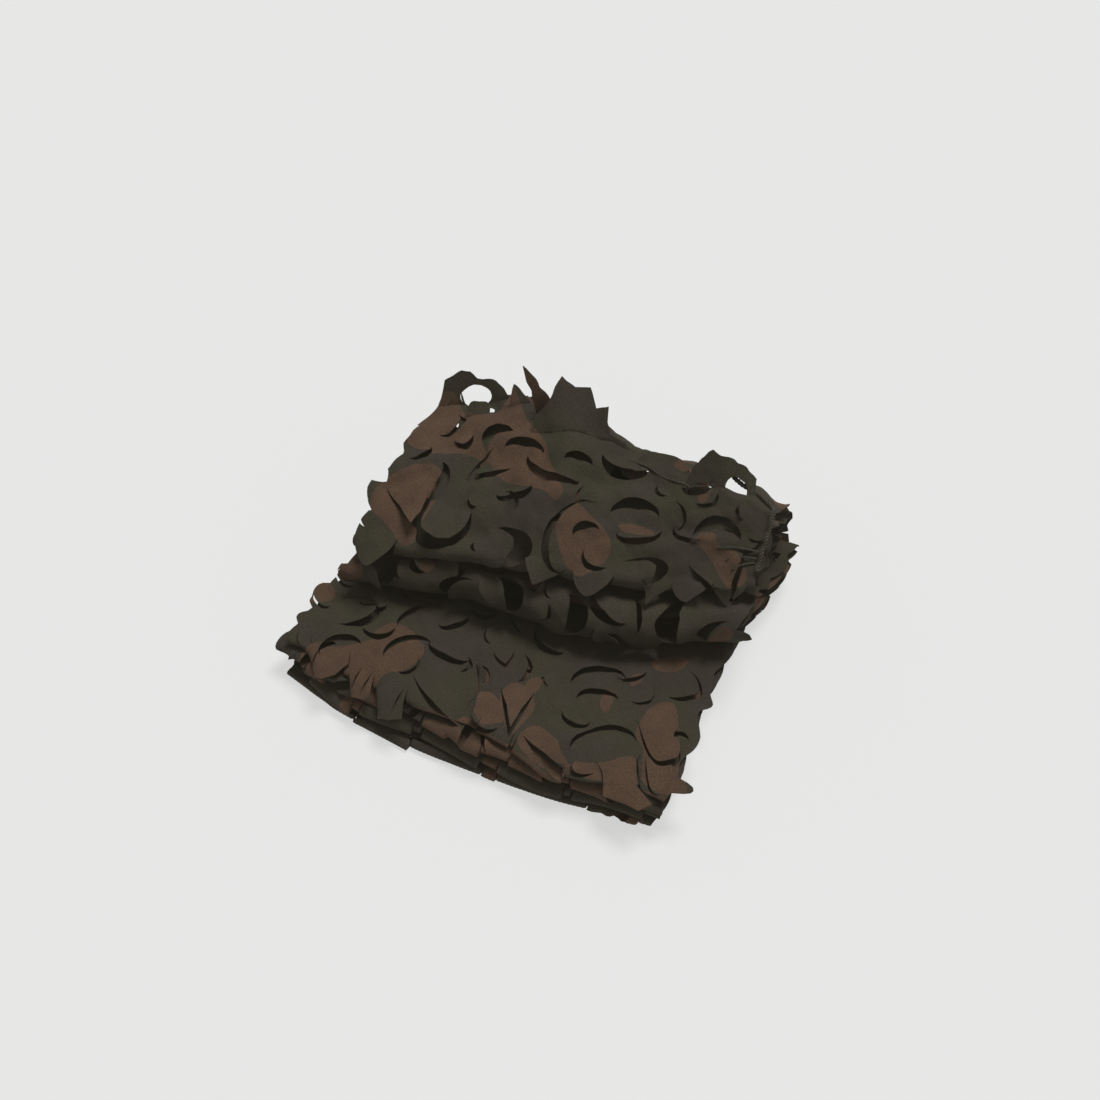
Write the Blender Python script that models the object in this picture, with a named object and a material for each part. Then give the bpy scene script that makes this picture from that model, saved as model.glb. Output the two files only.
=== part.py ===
"""A camouflage net folded into a flat pack, with the border rope that shows at its right end.

The garnish cloth is one long sheet. It is drawn flat as a slab, with crescent gaps cut through it, and
each point of the slab is then carried onto the folded path: a flat stack of plies, a roll, a tucked ply,
a brow, a crown that rises to the crest, and a back that falls to the ground. The cloth that a crescent
gap leaves, its tongue, lifts off the folded surface about its root.

The origin is on the ground under the middle of the pack. +X runs along the front edge from left to right,
+Y runs to the back, and +Z is up. All sizes are in metres.
"""

import math
from typing import NamedTuple

import bmesh
import bpy
from mathutils import Vector

# Driving sizes.
CLOTH = 0.0025
PLY_PITCH = 0.0061
FLAT_PLIES = 8
FRONT_FOLDS = FLAT_PLIES // 2
FOLD_BULGE = 0.0012
FOLD_STEPS = 5
BACK = 0.190
BACK_FOLD_INSET = 0.022
FOLD_WOBBLE = 0.0035
FOLD_WOBBLE_LENGTH = 0.19
RUN_MARGIN = 0.010
START_INSET = 0.016
ROLL_FOOT_Z = 0.0535
ROLL_OVERHANG = 0.004
ROLL_RISE = 0.004
ROLL_STEPS = 7
SHELF_RUN = 0.026
SHELF_DROP = 0.001
SHELF_BACK = 0.105
SHELF_Z = 0.0865
TUCK_RUN_END = 0.128
TUCK_TOP_Z = 0.078
TUCK_LOW_Z = 0.069
TUCK_BACK = 0.140
TUCK_FRONT_INSET = 0.030
WRAP_BACK = 0.161
WRAP_Z = 0.099
BROW_LIFT = 0.0075
BROW_FOOT = 0.013
BROW_OVERHANG = 0.009
BROW_THICKNESS = 0.020
CROWN_SHARES = (0.18, 0.38, 0.58, 0.78, 0.92)
CROWN_POWER = 1.7
CREST_DIP = 0.001
LINING_DROP = 0.0080
LINING_SET_BACK = 0.0030
COLUMNS = 11
PUFF = 0.045
PUFF_ACROSS = 0.19
PUFF_ALONG = 0.23
ROPE_RADIUS = 0.0027
CORD_RADIUS = 0.0014
ROPE_SEAT = 0.0010
CORD_SEAT = 0.0006
CREST_FALL = ((0.012, 0.003), (0.025, 0.014))
BACK_FALL = ((-0.024, 0.040), (-0.009, 0.068))
BACK_FOOT = ((-0.002, 0.055), (0.001, 0.030), (0.003, 0.008))

OLIVE = (0.042, 0.041, 0.029, 1.0)
ROPE_OLIVE = (0.075, 0.068, 0.040, 1.0)


class Row(NamedTuple):
    """Where the folds lie in one section of the pack, at a place across it."""

    x: float
    front_low: float
    front_high: float
    valley: float
    crease: float
    crease_z: float
    crest: float
    crest_z: float


ROWS = (
    Row(-0.205, -0.190, -0.178, -0.100, -0.074, 0.082, 0.124, 0.141),
    Row(-0.130, -0.208, -0.190, -0.080, -0.058, 0.084, 0.134, 0.150),
    Row(-0.060, -0.214, -0.190, -0.066, -0.042, 0.087, 0.126, 0.163),
    Row(-0.010, -0.216, -0.194, -0.063, -0.032, 0.089, 0.120, 0.166),
    Row(0.050, -0.214, -0.200, -0.060, -0.020, 0.090, 0.120, 0.150),
    Row(0.110, -0.210, -0.204, -0.050, -0.002, 0.091, 0.118, 0.149),
    Row(0.160, -0.202, -0.194, -0.025, 0.021, 0.089, 0.110, 0.150),
    Row(0.222, -0.194, -0.194, 0.006, 0.046, 0.083, 0.100, 0.144),
)


class Edge(NamedTuple):
    """How far the sheet reaches to the left and the right at a mark along the folded path."""

    mark: str
    left: float
    right: float


EDGES = (
    Edge("start", -0.200, 0.205),
    Edge("flat_top", -0.203, 0.214),
    Edge("roll", -0.182, 0.211),
    Edge("tuck", -0.186, 0.205),
    Edge("brow", -0.180, 0.216),
    Edge("crest", -0.186, 0.215),
    Edge("end", -0.184, 0.206),
)
SCALLOP_DEPTH = 0.006
SCALLOP_LENGTH = 0.058
EDGE_STEP = 0.045


class Cut(NamedTuple):
    """A crescent gap. Its root's middle lies at `along` past a mark and at x.

    `heading` is where its tongue points, in degrees: 0 points along the path, 90 to the right. `point` is
    0 for a round tongue and 1 for a pointed one. `lift` is the angle at which the tongue leaves the surface,
    `curl` the further turn up to its tip.
    """

    mark: str
    along: float
    x: float
    width: float
    length: float
    heading: float
    gap: float
    point: float
    lift: float
    curl: float


CUTS = (
    Cut("brow", 0.135, -0.175, 0.032, 0.035, 90, 0.007, 0.3, 8, 25),
    Cut("brow", 0.125, -0.072, 0.024, 0.038, -85, 0.008, 0.2, 6, 10),
    Cut("brow", 0.104, -0.044, 0.036, 0.029, -30, 0.006, 0.4, 8, 20),
    Cut("brow", 0.105, -0.100, 0.027, 0.024, -120, 0.008, 0.0, 8, 25),
    Cut("brow", 0.098, -0.084, 0.030, 0.028, 120, 0.007, 0.1, 8, 20),
    Cut("brow", 0.090, -0.018, 0.038, 0.030, 15, 0.007, 0.4, 8, 25),
    Cut("brow", 0.055, -0.040, 0.032, 0.027, -25, 0.006, 0.3, 8, 20),
    Cut("brow", 0.052, 0.044, 0.040, 0.040, -65, 0.009, 0.1, 10, 20),
    Cut("brow", 0.010, 0.056, 0.040, 0.030, -20, 0.006, 0.0, 8, 15),
    Cut("brow", 0.065, 0.089, 0.042, 0.040, -30, 0.009, 0.2, 10, 20),
    Cut("brow", 0.012, 0.094, 0.042, 0.036, 50, 0.008, 0.0, 10, 25),
    Cut("brow", 0.120, 0.085, 0.036, 0.032, 48, 0.006, 0.3, 8, 15),
    Cut("brow", 0.076, 0.174, 0.034, 0.028, -10, 0.013, 0.0, 8, 10),
    Cut("brow", 0.058, 0.146, 0.034, 0.042, 150, 0.006, 0.9, 8, 5),
    Cut("brow", 0.085, -0.154, 0.052, 0.068, 170, 0.007, 0.8, 6, 6),
    Cut("brow", 0.040, -0.098, 0.050, 0.042, -145, 0.008, 0.0, 8, 25),
    Cut("brow", 0.020, -0.050, 0.050, 0.043, 90, 0.008, 0.0, 10, 30),
    Cut("roll", 0.016, 0.008, 0.032, 0.032, -110, 0.009, 0.1, 6, 20),
    Cut("roll", 0.020, 0.077, 0.034, 0.029, -105, 0.010, 0.0, 6, 20),
    Cut("roll", 0.018, 0.112, 0.032, 0.024, 60, 0.006, 0.2, 6, 20),
    Cut("roll", 0.020, 0.178, 0.055, 0.034, -80, 0.012, 0.0, 8, 20),
    Cut("roll", 0.020, -0.070, 0.040, 0.030, -60, 0.007, 0.1, 8, 20),
    Cut("roll", 0.016, -0.135, 0.040, 0.032, 70, 0.008, 0.0, 8, 20),
    Cut("flat_top", 0.053, -0.180, 0.030, 0.048, 70, 0.005, 0.0, 4, 6),
    Cut("flat_top", 0.082, -0.060, 0.056, 0.024, 170, 0.005, 0.3, 4, 6),
    Cut("flat_top", 0.010, -0.131, 0.040, 0.028, -60, 0.010, 0.1, 5, 8),
    Cut("flat_top", 0.016, 0.038, 0.044, 0.039, -65, 0.006, 0.0, 4, 12),
    Cut("flat_top", 0.092, 0.112, 0.052, 0.033, -45, 0.006, 0.2, 5, 8),
    Cut("flat_top", 0.022, 0.151, 0.070, 0.040, -28, 0.014, 0.1, 5, 8),
    Cut("flat_top", 0.062, 0.020, 0.038, 0.033, -15, 0.005, 0.4, 4, 8),
    Cut("crest", -0.006, -0.150, 0.062, 0.040, -8, 0.006, 0.1, 52, 10),
    Cut("crest", -0.004, -0.088, 0.024, 0.052, -20, 0.006, 1.0, 70, 10),
    Cut("crest", -0.004, -0.045, 0.046, 0.040, -6, 0.006, 0.6, 35, 10),
    Cut("crest", -0.004, 0.010, 0.050, 0.040, 6, 0.006, 0.3, 35, 10),
    Cut("crest", -0.004, 0.075, 0.050, 0.024, 0, 0.006, 0.2, 20, 10),
    Cut("crest", -0.004, 0.152, 0.060, 0.046, 4, 0.006, 0.3, 48, 15),
    Cut("crest", 0.085, -0.110, 0.044, 0.034, 90, 0.007, 0.2, 8, 20),
    Cut("crest", 0.080, 0.060, 0.044, 0.034, -90, 0.007, 0.2, 8, 20),
    Cut("crest", 0.135, -0.030, 0.040, 0.030, 90, 0.007, 0.0, 8, 20),
    Cut("crest", 0.130, 0.150, 0.040, 0.030, -90, 0.007, 0.3, 8, 20),
)


class Hole(NamedTuple):
    """A plain gap inside a tongue, as a shape of half widths across and along the sheet."""

    mark: str
    along: float
    x: float
    half_across: float
    half_along: float


HOLES = (
    Hole("crest", 0.011, -0.151, 0.016, 0.008),
    Hole("crest", 0.014, 0.153, 0.014, 0.009),
)


class Lay(NamedTuple):
    """A point of a cord's route over the cloth."""

    mark: str
    along: float
    x: float


BORDER_ROPE = (
    Lay("crest", 0.016, 0.140),
    Lay("crest", 0.016, 0.165),
    Lay("crest", 0.014, 0.187),
    Lay("crest", 0.006, 0.201),
    Lay("crest", -0.008, 0.2075),
    Lay("brow", 0.140, 0.208),
    Lay("brow", 0.110, 0.208),
    Lay("brow", 0.070, 0.208),
    Lay("brow", 0.030, 0.207),
)
NET_CORDS = {
    "net_cord_crest": (Lay("crest", -0.007, 0.040), Lay("crest", -0.017, 0.075), Lay("crest", -0.026, 0.112)),
    "net_cord_gather_top": (Lay("brow", 0.068, 0.162), Lay("brow", 0.073, 0.182), Lay("brow", 0.074, 0.202)),
    "net_cord_gather_middle": (
        Lay("brow", 0.048, 0.175),
        Lay("brow", 0.057, 0.188),
        Lay("brow", 0.061, 0.202),
    ),
    "net_cord_gather_low": (Lay("brow", 0.030, 0.184), Lay("brow", 0.042, 0.193), Lay("brow", 0.049, 0.202)),
}
ROPE_STRANDS = 3
ROPE_SIDES = ROPE_STRANDS * 3
ROPE_GROOVE = 0.12
ROPE_LAY = 0.022
ROPE_STEP = 0.0028
CORD_STEP = 0.004
EDGE_SAMPLES = 48
TONGUE_STEPS = 6
GAP_STEPS = (6, 4)
REPEAT_STEPS = (4, 3)
HOLE_SIDES = 8
CUTTER_REACH = CLOTH * 2
WELD = 1e-6
GAP_WELD = 5e-6
FLAT_ANGLE = math.radians(0.5)
STRETCH_STEP = 0.012
DIRECTION_STEP = 0.001
TINY = 1e-6

# The repeat of gaps in the plies that lie inside the pack: rows along the sheet, staggered across it.
REPEAT_ALONG = 0.176
REPEAT_ACROSS = 0.125
REPEAT_END = 2.60
REPEAT_WIDTH = 0.044
REPEAT_LENGTH = 0.034
REPEAT_GAP = 0.008
REPEAT_POINT = 0.2
REPEAT_COLUMNS = 3
REPEAT_STAGGER = 0.25
REPEAT_START = 0.55
REPEAT_CLEAR_OF_MOUNT = 0.06


def smooth_value(places, values, place):
    """A smooth curve through the values at the places, read at one place."""
    last = len(places) - 1
    place = min(max(place, places[0]), places[last])
    i = max(j for j in range(last) if places[j] <= place)
    span = places[i + 1] - places[i]
    t = (place - places[i]) / span

    def slope(j):
        low, high = max(j - 1, 0), min(j + 1, last)
        return (values[high] - values[low]) / (places[high] - places[low])

    rise = values[i + 1] - values[i]
    start, end = slope(i) * span, slope(i + 1) * span
    return values[i] + t * start + t * t * (3 * rise - 2 * start - end) + t**3 * (start + end - 2 * rise)


def row_at(x):
    places = [row.x for row in ROWS]
    return Row(*(smooth_value(places, column, x) for column in zip(*ROWS)))


def half_turn(tip_y, from_z, to_z, side=1, steps=FOLD_STEPS):
    """The stations of a fold with its outermost point at tip_y: side 1 turns at the back, -1 at the front."""
    radius = abs(to_z - from_z) / 2
    stations = []
    for i in range(steps):
        angle = math.pi * (i / (steps - 1) - 0.5)
        y = tip_y - side * radius * (1 - math.cos(angle))
        stations.append((y, (from_z + to_z) / 2 + (to_z - from_z) / 2 * math.sin(angle)))
    return stations


class Pen:
    """Draws the folded path of one section as (y, z) stations and keeps the marks that it passes."""

    def __init__(self, y, z):
        self.points = [(y, z)]
        self.marks = {"start": 0}

    def mark(self, name, before_end=0):
        self.marks[name] = len(self.points) - 1 - before_end

    def through(self, *points):
        self.points.extend(points)

    def fold(self, tip_y, to_z, bulge=(0.0, 0.0), steps=FOLD_STEPS, inner=1):
        """Runs level to a fold whose outermost point is at tip_y and turns there to the height to_z."""
        from_y, from_z = self.points[-1]
        side = 1 if tip_y > from_y else -1
        way = 1 if to_z > from_z else -1
        low, high = from_z - way * bulge[0], to_z + way * bulge[1]
        first = from_y + side * RUN_MARGIN
        last = tip_y - side * (abs(high - low) / 2 + RUN_MARGIN)
        for i in range(inner + 2):
            self.points.append((first + (last - first) * i / (inner + 1), from_z))
        self.through(*half_turn(tip_y, low, high, side, steps))


def puffed(x, y, z):
    """The height z with the pack's soft unevenness. The lowest ply stays level."""
    swell = math.sin(math.tau * x / PUFF_ACROSS + 0.6) * math.sin(math.tau * y / PUFF_ALONG + 1.1)
    return CLOTH / 2 + (z - CLOTH / 2) * (1 + PUFF * swell)


def wobble(x, fold):
    return FOLD_WOBBLE * math.sin(math.tau * x / FOLD_WOBBLE_LENGTH + 2.1 * fold)


def draw_stack(pen, row):
    """The flat plies, from the ground up, and the last fold at the back, from which the roll sets out."""
    for ply in range(FLAT_PLIES):
        z = CLOTH / 2 + (ply + 1) * PLY_PITCH
        fold = ply // 2
        if ply % 2 == 0:
            tip = row.front_low + (row.front_high - row.front_low) * fold / (FRONT_FOLDS - 1)
            tip += wobble(row.x, fold) if fold else 0.0
            pen.fold(tip, z, (FOLD_BULGE if fold else 0.0, FOLD_BULGE))
        elif ply < FLAT_PLIES - 1:
            pen.fold(BACK - BACK_FOLD_INSET + wobble(row.x, fold + 0.5), z, (FOLD_BULGE, FOLD_BULGE))
        else:
            pen.mark("flat_top")
            pen.fold(BACK - BACK_FOLD_INSET, ROLL_FOOT_Z, (FOLD_BULGE, 0.0), inner=3)


def draw_roll(pen, row):
    """The roll behind the valley, the crease over it and the ply tucked back inside it."""
    roll_top = row.crease_z + ROLL_RISE
    pen.fold(row.valley - ROLL_OVERHANG, roll_top, steps=ROLL_STEPS)
    pen.mark("roll", ROLL_STEPS // 2)
    y = pen.points[-1][0]
    pen.through(((y + row.crease) / 2, roll_top), (row.crease, row.crease_z))
    pen.through((row.crease + SHELF_RUN, row.crease_z - SHELF_DROP), (SHELF_BACK, SHELF_Z))
    pen.through((TUCK_RUN_END, SHELF_Z))
    pen.through(*half_turn(TUCK_BACK, SHELF_Z, TUCK_TOP_Z))
    pen.fold(row.valley + TUCK_FRONT_INSET, TUCK_LOW_Z)
    pen.mark("tuck")
    pen.fold(WRAP_BACK, WRAP_Z)


def draw_crown(pen, row):
    """The ply that lines the crown, the brow, the crown up to the crest, and the back down to the ground."""
    brow_low = row.crease_z + BROW_LIFT
    turn = half_turn(row.crease - BROW_OVERHANG, brow_low, brow_low + BROW_THICKNESS, -1)
    y, z = turn[-1]
    face = []
    for share in CROWN_SHARES:
        lift = 1 - (1 - share) ** CROWN_POWER
        face.append((y + (row.crest - y) * share, z + (row.crest_z - CREST_DIP - z) * lift))
    pen.through(*((y + LINING_SET_BACK, z - LINING_DROP) for y, z in reversed(face)))
    pen.through((row.crease + BROW_FOOT, brow_low))
    pen.through(*turn)
    pen.mark("brow", FOLD_STEPS // 2)
    pen.through(*face)
    pen.through((row.crest, row.crest_z))
    pen.mark("crest")
    pen.through(*((row.crest + behind, row.crest_z - fall) for behind, fall in CREST_FALL))
    pen.through(*((BACK + behind, row.crest_z - fall) for behind, fall in BACK_FALL))
    pen.through(*((BACK + behind, z) for behind, z in BACK_FOOT))
    pen.mark("end")


def draw_section(x):
    row = row_at(x)
    pen = Pen(BACK - START_INSET, CLOTH / 2)
    draw_stack(pen, row)
    draw_roll(pen, row)
    draw_crown(pen, row)
    return pen


class Fold:
    """The folded surface. A place on it is (u, x): u is the length along the middle section's path."""

    def __init__(self):
        middle = draw_section(0.0)
        self.u = [0.0]
        for (y0, z0), (y1, z1) in zip(middle.points, middle.points[1:]):
            self.u.append(self.u[-1] + math.hypot(y1 - y0, z1 - z0))
        self.marks = {name: self.u[i] for name, i in middle.marks.items()}
        self.sections = {}
        self.columns = {}

    def section(self, x):
        """The stations of the section at x, with their outward normals in the (y, z) plane.

        The sections at the columns are exact, and those between them lie straight between their neighbours,
        as the cut sheet does.
        """
        key = round(x, 6)
        if key not in self.sections:
            span = (ROWS[-1].x - ROWS[0].x) / COLUMNS
            place = min(max((key - ROWS[0].x) / span, 0.0), COLUMNS - 1e-9)
            i = int(place)
            low, high = self.column(i), self.column(i + 1)
            self.sections[key] = tuple(blend(a, b, place - i) for a, b in zip(low, high))
        return self.sections[key]

    def column(self, i):
        """The exact stations and normals at column i, swollen and sunk as the pack is."""
        if i not in self.columns:
            x = ROWS[0].x + (ROWS[-1].x - ROWS[0].x) * i / COLUMNS
            points = [(y, puffed(x, y, z)) for y, z in draw_section(x).points]
            last = len(points) - 1
            normals = []
            for j in range(last + 1):
                before = unit(points[max(j - 1, 0)], points[max(j, 1)])
                after = unit(points[min(j, last - 1)], points[min(j + 1, last)])
                ty, tz = before[0] + after[0], before[1] + after[1]
                size = math.hypot(ty, tz)
                normals.append((-tz / size, ty / size))
            self.columns[i] = (points, normals)
        return self.columns[i]

    def station(self, u):
        """The stretch of path that holds u, and the share of it that lies before u."""
        u = min(max(u, self.u[0]), self.u[-1])
        low, high = 0, len(self.u) - 2
        while low < high:
            middle = (low + high + 1) // 2
            low, high = (middle, high) if self.u[middle] <= u else (low, middle - 1)
        return low, (u - self.u[low]) / (self.u[low + 1] - self.u[low])

    def point(self, u, x):
        i, t = self.station(u)
        points, _ = self.section(x)
        (y0, z0), (y1, z1) = points[i], points[i + 1]
        return Vector((x, y0 + (y1 - y0) * t, z0 + (z1 - z0) * t))

    def normal(self, u, x):
        i, t = self.station(u)
        _, normals = self.section(x)
        (y0, z0), (y1, z1) = normals[i], normals[i + 1]
        return Vector((0.0, y0 + (y1 - y0) * t, z0 + (z1 - z0) * t)).normalized()

    def stretch(self, u, x):
        """How much longer the path is at (u, x) than in the middle section."""
        run = self.point(u + STRETCH_STEP, x) - self.point(u - STRETCH_STEP, x)
        return run.length / (2 * STRETCH_STEP)

    def direction(self, u, x, along, across):
        """The surface's direction at (u, x) that goes so far along the path and so far across it."""
        step = DIRECTION_STEP
        ahead = (self.point(u + step, x) - self.point(u - step, x)).normalized()
        aside = self.point(u, x + step) - self.point(u, x - step)
        aside = (aside - ahead * aside.dot(ahead)).normalized()
        return ahead * along + aside * across


def blend(low, high, share):
    """The list of pairs that lies a share of the way from one list of pairs to the other."""
    return [(a + (c - a) * share, b + (d - b) * share) for (a, b), (c, d) in zip(low, high)]


def unit(start, end):
    dy, dz = end[0] - start[0], end[1] - start[1]
    size = math.hypot(dy, dz)
    return dy / size, dz / size


def edge_at(fold, u, side):
    """The x of the sheet's left or right edge at u, with the scallops of its cut edge."""
    places = [fold.marks[edge.mark] for edge in EDGES]
    x = smooth_value(places, [getattr(edge, side) for edge in EDGES], u)
    out = -1 if side == "left" else 1
    phase = 0.0 if side == "left" else 0.35
    return x + out * SCALLOP_DEPTH * (abs(math.sin(math.pi * (u / SCALLOP_LENGTH + phase))) - 0.6)


class Tongue:
    """A crescent gap in the flat sheet, and the lifted tongue that it leaves."""

    def __init__(self, fold, cut):
        self.fold = fold
        self.cut = cut
        self.u = fold.marks[cut.mark] + cut.along
        self.stretch = fold.stretch(self.u, cut.x)
        self.sine = math.sin(math.radians(cut.heading))
        self.cosine = math.cos(math.radians(cut.heading))

    def flat(self, across, forward):
        """The place in the sheet, as (x, u), of a point measured from the root's middle."""
        along = forward * self.cosine - across * self.sine
        return self.cut.x + forward * self.sine + across * self.cosine, self.u + along / self.stretch

    def local(self, x, u):
        along = (u - self.u) * self.stretch
        aside = x - self.cut.x
        return aside * self.cosine - along * self.sine, aside * self.sine + along * self.cosine

    def outline(self, share, inset):
        """A point of the gap's outer edge at a share of the way round, or with an inset the tongue's."""
        cut = self.cut
        round_, sharp = math.sin(math.pi * share), 1 - abs(math.cos(math.pi * share))
        across = cut.width / 2 * math.cos(math.pi * share) * (1 + 0.2 * round_ * (1 - cut.point))
        forward = cut.length * ((1 - cut.point) * round_ + cut.point * sharp)
        return across * (1 - inset / cut.width * round_), forward * (1 - inset / cut.length)

    def gap_points(self, outer_steps, inner_steps):
        """The crescent as (x, u) points: the outer edge one way and the tongue's edge back."""
        shares = [(i / outer_steps, 0.0) for i in range(outer_steps + 1)]
        shares += [(1 - i / inner_steps, self.cut.gap) for i in range(1, inner_steps)]
        return [self.flat(*self.outline(share, inset)) for share, inset in shares]

    def holds(self, x, u):
        """Whether a place of the sheet lies on the tongue."""
        across, forward = self.local(x, u)
        if not 0 < forward < self.cut.length:
            return False
        edge = (self.outline(i / EDGE_SAMPLES, self.cut.gap) for i in range(EDGE_SAMPLES + 1))
        reach = [ahead for aside, ahead in edge if aside * across >= across * across - TINY]
        return bool(reach) and forward < max(reach) + TINY

    def place(self, x, u, height):
        """The point of the tongue, turned up about its root, at a height off the sheet's middle."""
        across, forward = self.local(x, u)
        root_x, root_u = self.flat(across, 0.0)
        root, normal = self.fold.point(root_u, root_x), self.fold.normal(root_u, root_x)
        heading = self.fold.direction(root_u, root_x, self.cosine, self.sine)
        ahead = up = angle = 0.0
        for i in range(TONGUE_STEPS):
            share = (i + 0.5) / TONGUE_STEPS * forward / self.cut.length
            angle = math.radians(self.cut.lift + self.cut.curl * share)
            ahead += math.cos(angle) * forward / TONGUE_STEPS
            up += math.sin(angle) * forward / TONGUE_STEPS
        face = normal * math.cos(angle) - heading * math.sin(angle)
        return root + heading * ahead + normal * up + face * height


def inner_cuts(fold):
    """The staggered repeat of gaps in the hidden plies, without the place where the mount face lies."""
    rows = int(REPEAT_END / REPEAT_ALONG)
    for i in range(rows):
        u = REPEAT_ALONG * (i + REPEAT_START)
        for j in range(REPEAT_COLUMNS):
            x = (j - 1 + (REPEAT_STAGGER if i % 2 else -REPEAT_STAGGER)) * REPEAT_ACROSS
            if fold.point(u, x).length < REPEAT_CLEAR_OF_MOUNT:
                continue
            heading = 90 if (i + j) % 2 else -90
            shape = (REPEAT_WIDTH, REPEAT_LENGTH, heading, REPEAT_GAP, REPEAT_POINT)
            yield Cut("start", u, x, *shape, lift=0.0, curl=0.0)


def new_collection(name):
    collection = bpy.data.collections.new(name)
    bpy.context.scene.collection.children.link(collection)
    return collection


def new_material(name, colour, roughness):
    material = bpy.data.materials.new(name)
    material.use_nodes = True
    shader = material.node_tree.nodes["Principled BSDF"]
    shader.inputs["Base Color"].default_value = colour
    shader.inputs["Roughness"].default_value = roughness
    shader.inputs["Metallic"].default_value = 0.0
    return material


def outline_mesh(name, outlines, half_thickness):
    """A mesh made from closed flat outlines, filled and extruded, with its caps welded to its sides."""
    curve = bpy.data.curves.new(name, "CURVE")
    curve.dimensions = "2D"
    curve.fill_mode = "BOTH"
    curve.extrude = half_thickness
    for outline in outlines:
        spline = curve.splines.new("POLY")
        spline.points.add(len(outline) - 1)
        for point, (x, y) in zip(spline.points, outline):
            point.co = (x, y, 0.0, 1.0)
        spline.use_cyclic_u = True
    guide = bpy.data.objects.new(name + "_outline", curve)
    bpy.context.scene.collection.objects.link(guide)
    bpy.context.view_layer.update()
    evaluated = guide.evaluated_get(bpy.context.evaluated_depsgraph_get())
    mesh = bpy.data.meshes.new_from_object(evaluated)
    bpy.data.objects.remove(guide)
    bm = bmesh.new()
    bm.from_mesh(mesh)
    bmesh.ops.remove_doubles(bm, verts=bm.verts, dist=WELD)
    bmesh.ops.dissolve_limit(bm, angle_limit=FLAT_ANGLE, verts=bm.verts, edges=bm.edges)
    bmesh.ops.recalc_face_normals(bm, faces=bm.faces)
    bm.to_mesh(mesh)
    bm.free()
    mesh.name = name
    return mesh


def sheet_outline(fold):
    """The flat sheet's outline: up its left edge and down its right edge, with a point at each station."""
    stops = []
    for low, high in zip(fold.u, fold.u[1:]):
        pieces = math.ceil((high - low) / EDGE_STEP)
        stops.extend(low + (high - low) * i / pieces for i in range(pieces))
    stops.append(fold.u[-1])
    right = [(edge_at(fold, u, "right"), u) for u in stops]
    left = [(edge_at(fold, u, "left"), u) for u in reversed(stops)]
    return right + left


def cut_grid(mesh, fold):
    """Cuts the flat slab along every station and into even columns, so that it can follow the fold."""
    bm = bmesh.new()
    bm.from_mesh(mesh)
    left, right = ROWS[0].x, ROWS[-1].x
    cuts = [((left + (right - left) * i / COLUMNS, 0.0, 0.0), (1.0, 0.0, 0.0)) for i in range(1, COLUMNS)]
    cuts += [((0.0, u, 0.0), (0.0, 1.0, 0.0)) for u in fold.u[1:-1]]
    for place, across in cuts:
        geometry = bm.verts[:] + bm.edges[:] + bm.faces[:]
        bmesh.ops.bisect_plane(bm, geom=geometry, dist=WELD, plane_co=place, plane_no=across)
    bm.to_mesh(mesh)
    bm.free()


def gap_outlines(fold, tongues):
    """Every gap of the sheet as a closed outline of (x, u) points."""
    gaps = [tongue.gap_points(*GAP_STEPS) for tongue in tongues]
    gaps += [Tongue(fold, cut).gap_points(*REPEAT_STEPS) for cut in inner_cuts(fold)]
    corners = [math.tau * i / HOLE_SIDES for i in range(HOLE_SIDES)]
    for hole in HOLES:
        u = fold.marks[hole.mark] + hole.along
        across, along = hole.half_across, hole.half_along
        gaps.append([(hole.x + across * math.cos(a), u + along * math.sin(a)) for a in corners])
    return gaps


def cut_sheet(fold, tongues, parts, cutters):
    """The mesh of the flat slab with all its gaps cut through."""
    mesh = outline_mesh("flat_cloth", [sheet_outline(fold)], CLOTH / 2)
    cut_grid(mesh, fold)
    flat = bpy.data.objects.new("flat_cloth", mesh)
    parts.objects.link(flat)
    cutter_mesh = outline_mesh("gap_cutter", gap_outlines(fold, tongues), CUTTER_REACH)
    cutter = bpy.data.objects.new("gap_cutter", cutter_mesh)
    cutter.hide_render = True
    cutter.display_type = "WIRE"
    cutters.objects.link(cutter)
    boolean = flat.modifiers.new("gaps", "BOOLEAN")
    boolean.operation = "DIFFERENCE"
    boolean.object = cutter
    bpy.context.view_layer.update()
    evaluated = flat.evaluated_get(bpy.context.evaluated_depsgraph_get())
    cut_mesh = bpy.data.meshes.new_from_object(evaluated)
    bpy.data.objects.remove(flat)
    return cut_mesh


def build_cloth(fold, parts, cutters, material):
    """The garnish cloth: the cut slab, carried onto the fold with its tongues lifted."""
    tongues = [Tongue(fold, cut) for cut in CUTS]
    mesh = cut_sheet(fold, tongues, parts, cutters)
    bm = bmesh.new()
    bm.from_mesh(mesh)
    bmesh.ops.remove_doubles(bm, verts=bm.verts, dist=GAP_WELD)
    bmesh.ops.triangulate(bm, faces=bm.faces)
    for vertex in bm.verts:
        x, u, height = vertex.co
        tongue = next((tongue for tongue in tongues if tongue.holds(x, u)), None)
        if tongue:
            vertex.co = tongue.place(x, u, height)
        else:
            vertex.co = fold.point(u, x) + fold.normal(u, x) * height
    bm.to_mesh(mesh)
    bm.free()
    mesh.materials.clear()
    mesh.materials.append(material)
    parts.objects.link(bpy.data.objects.new("garnish_cloth", mesh))


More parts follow.
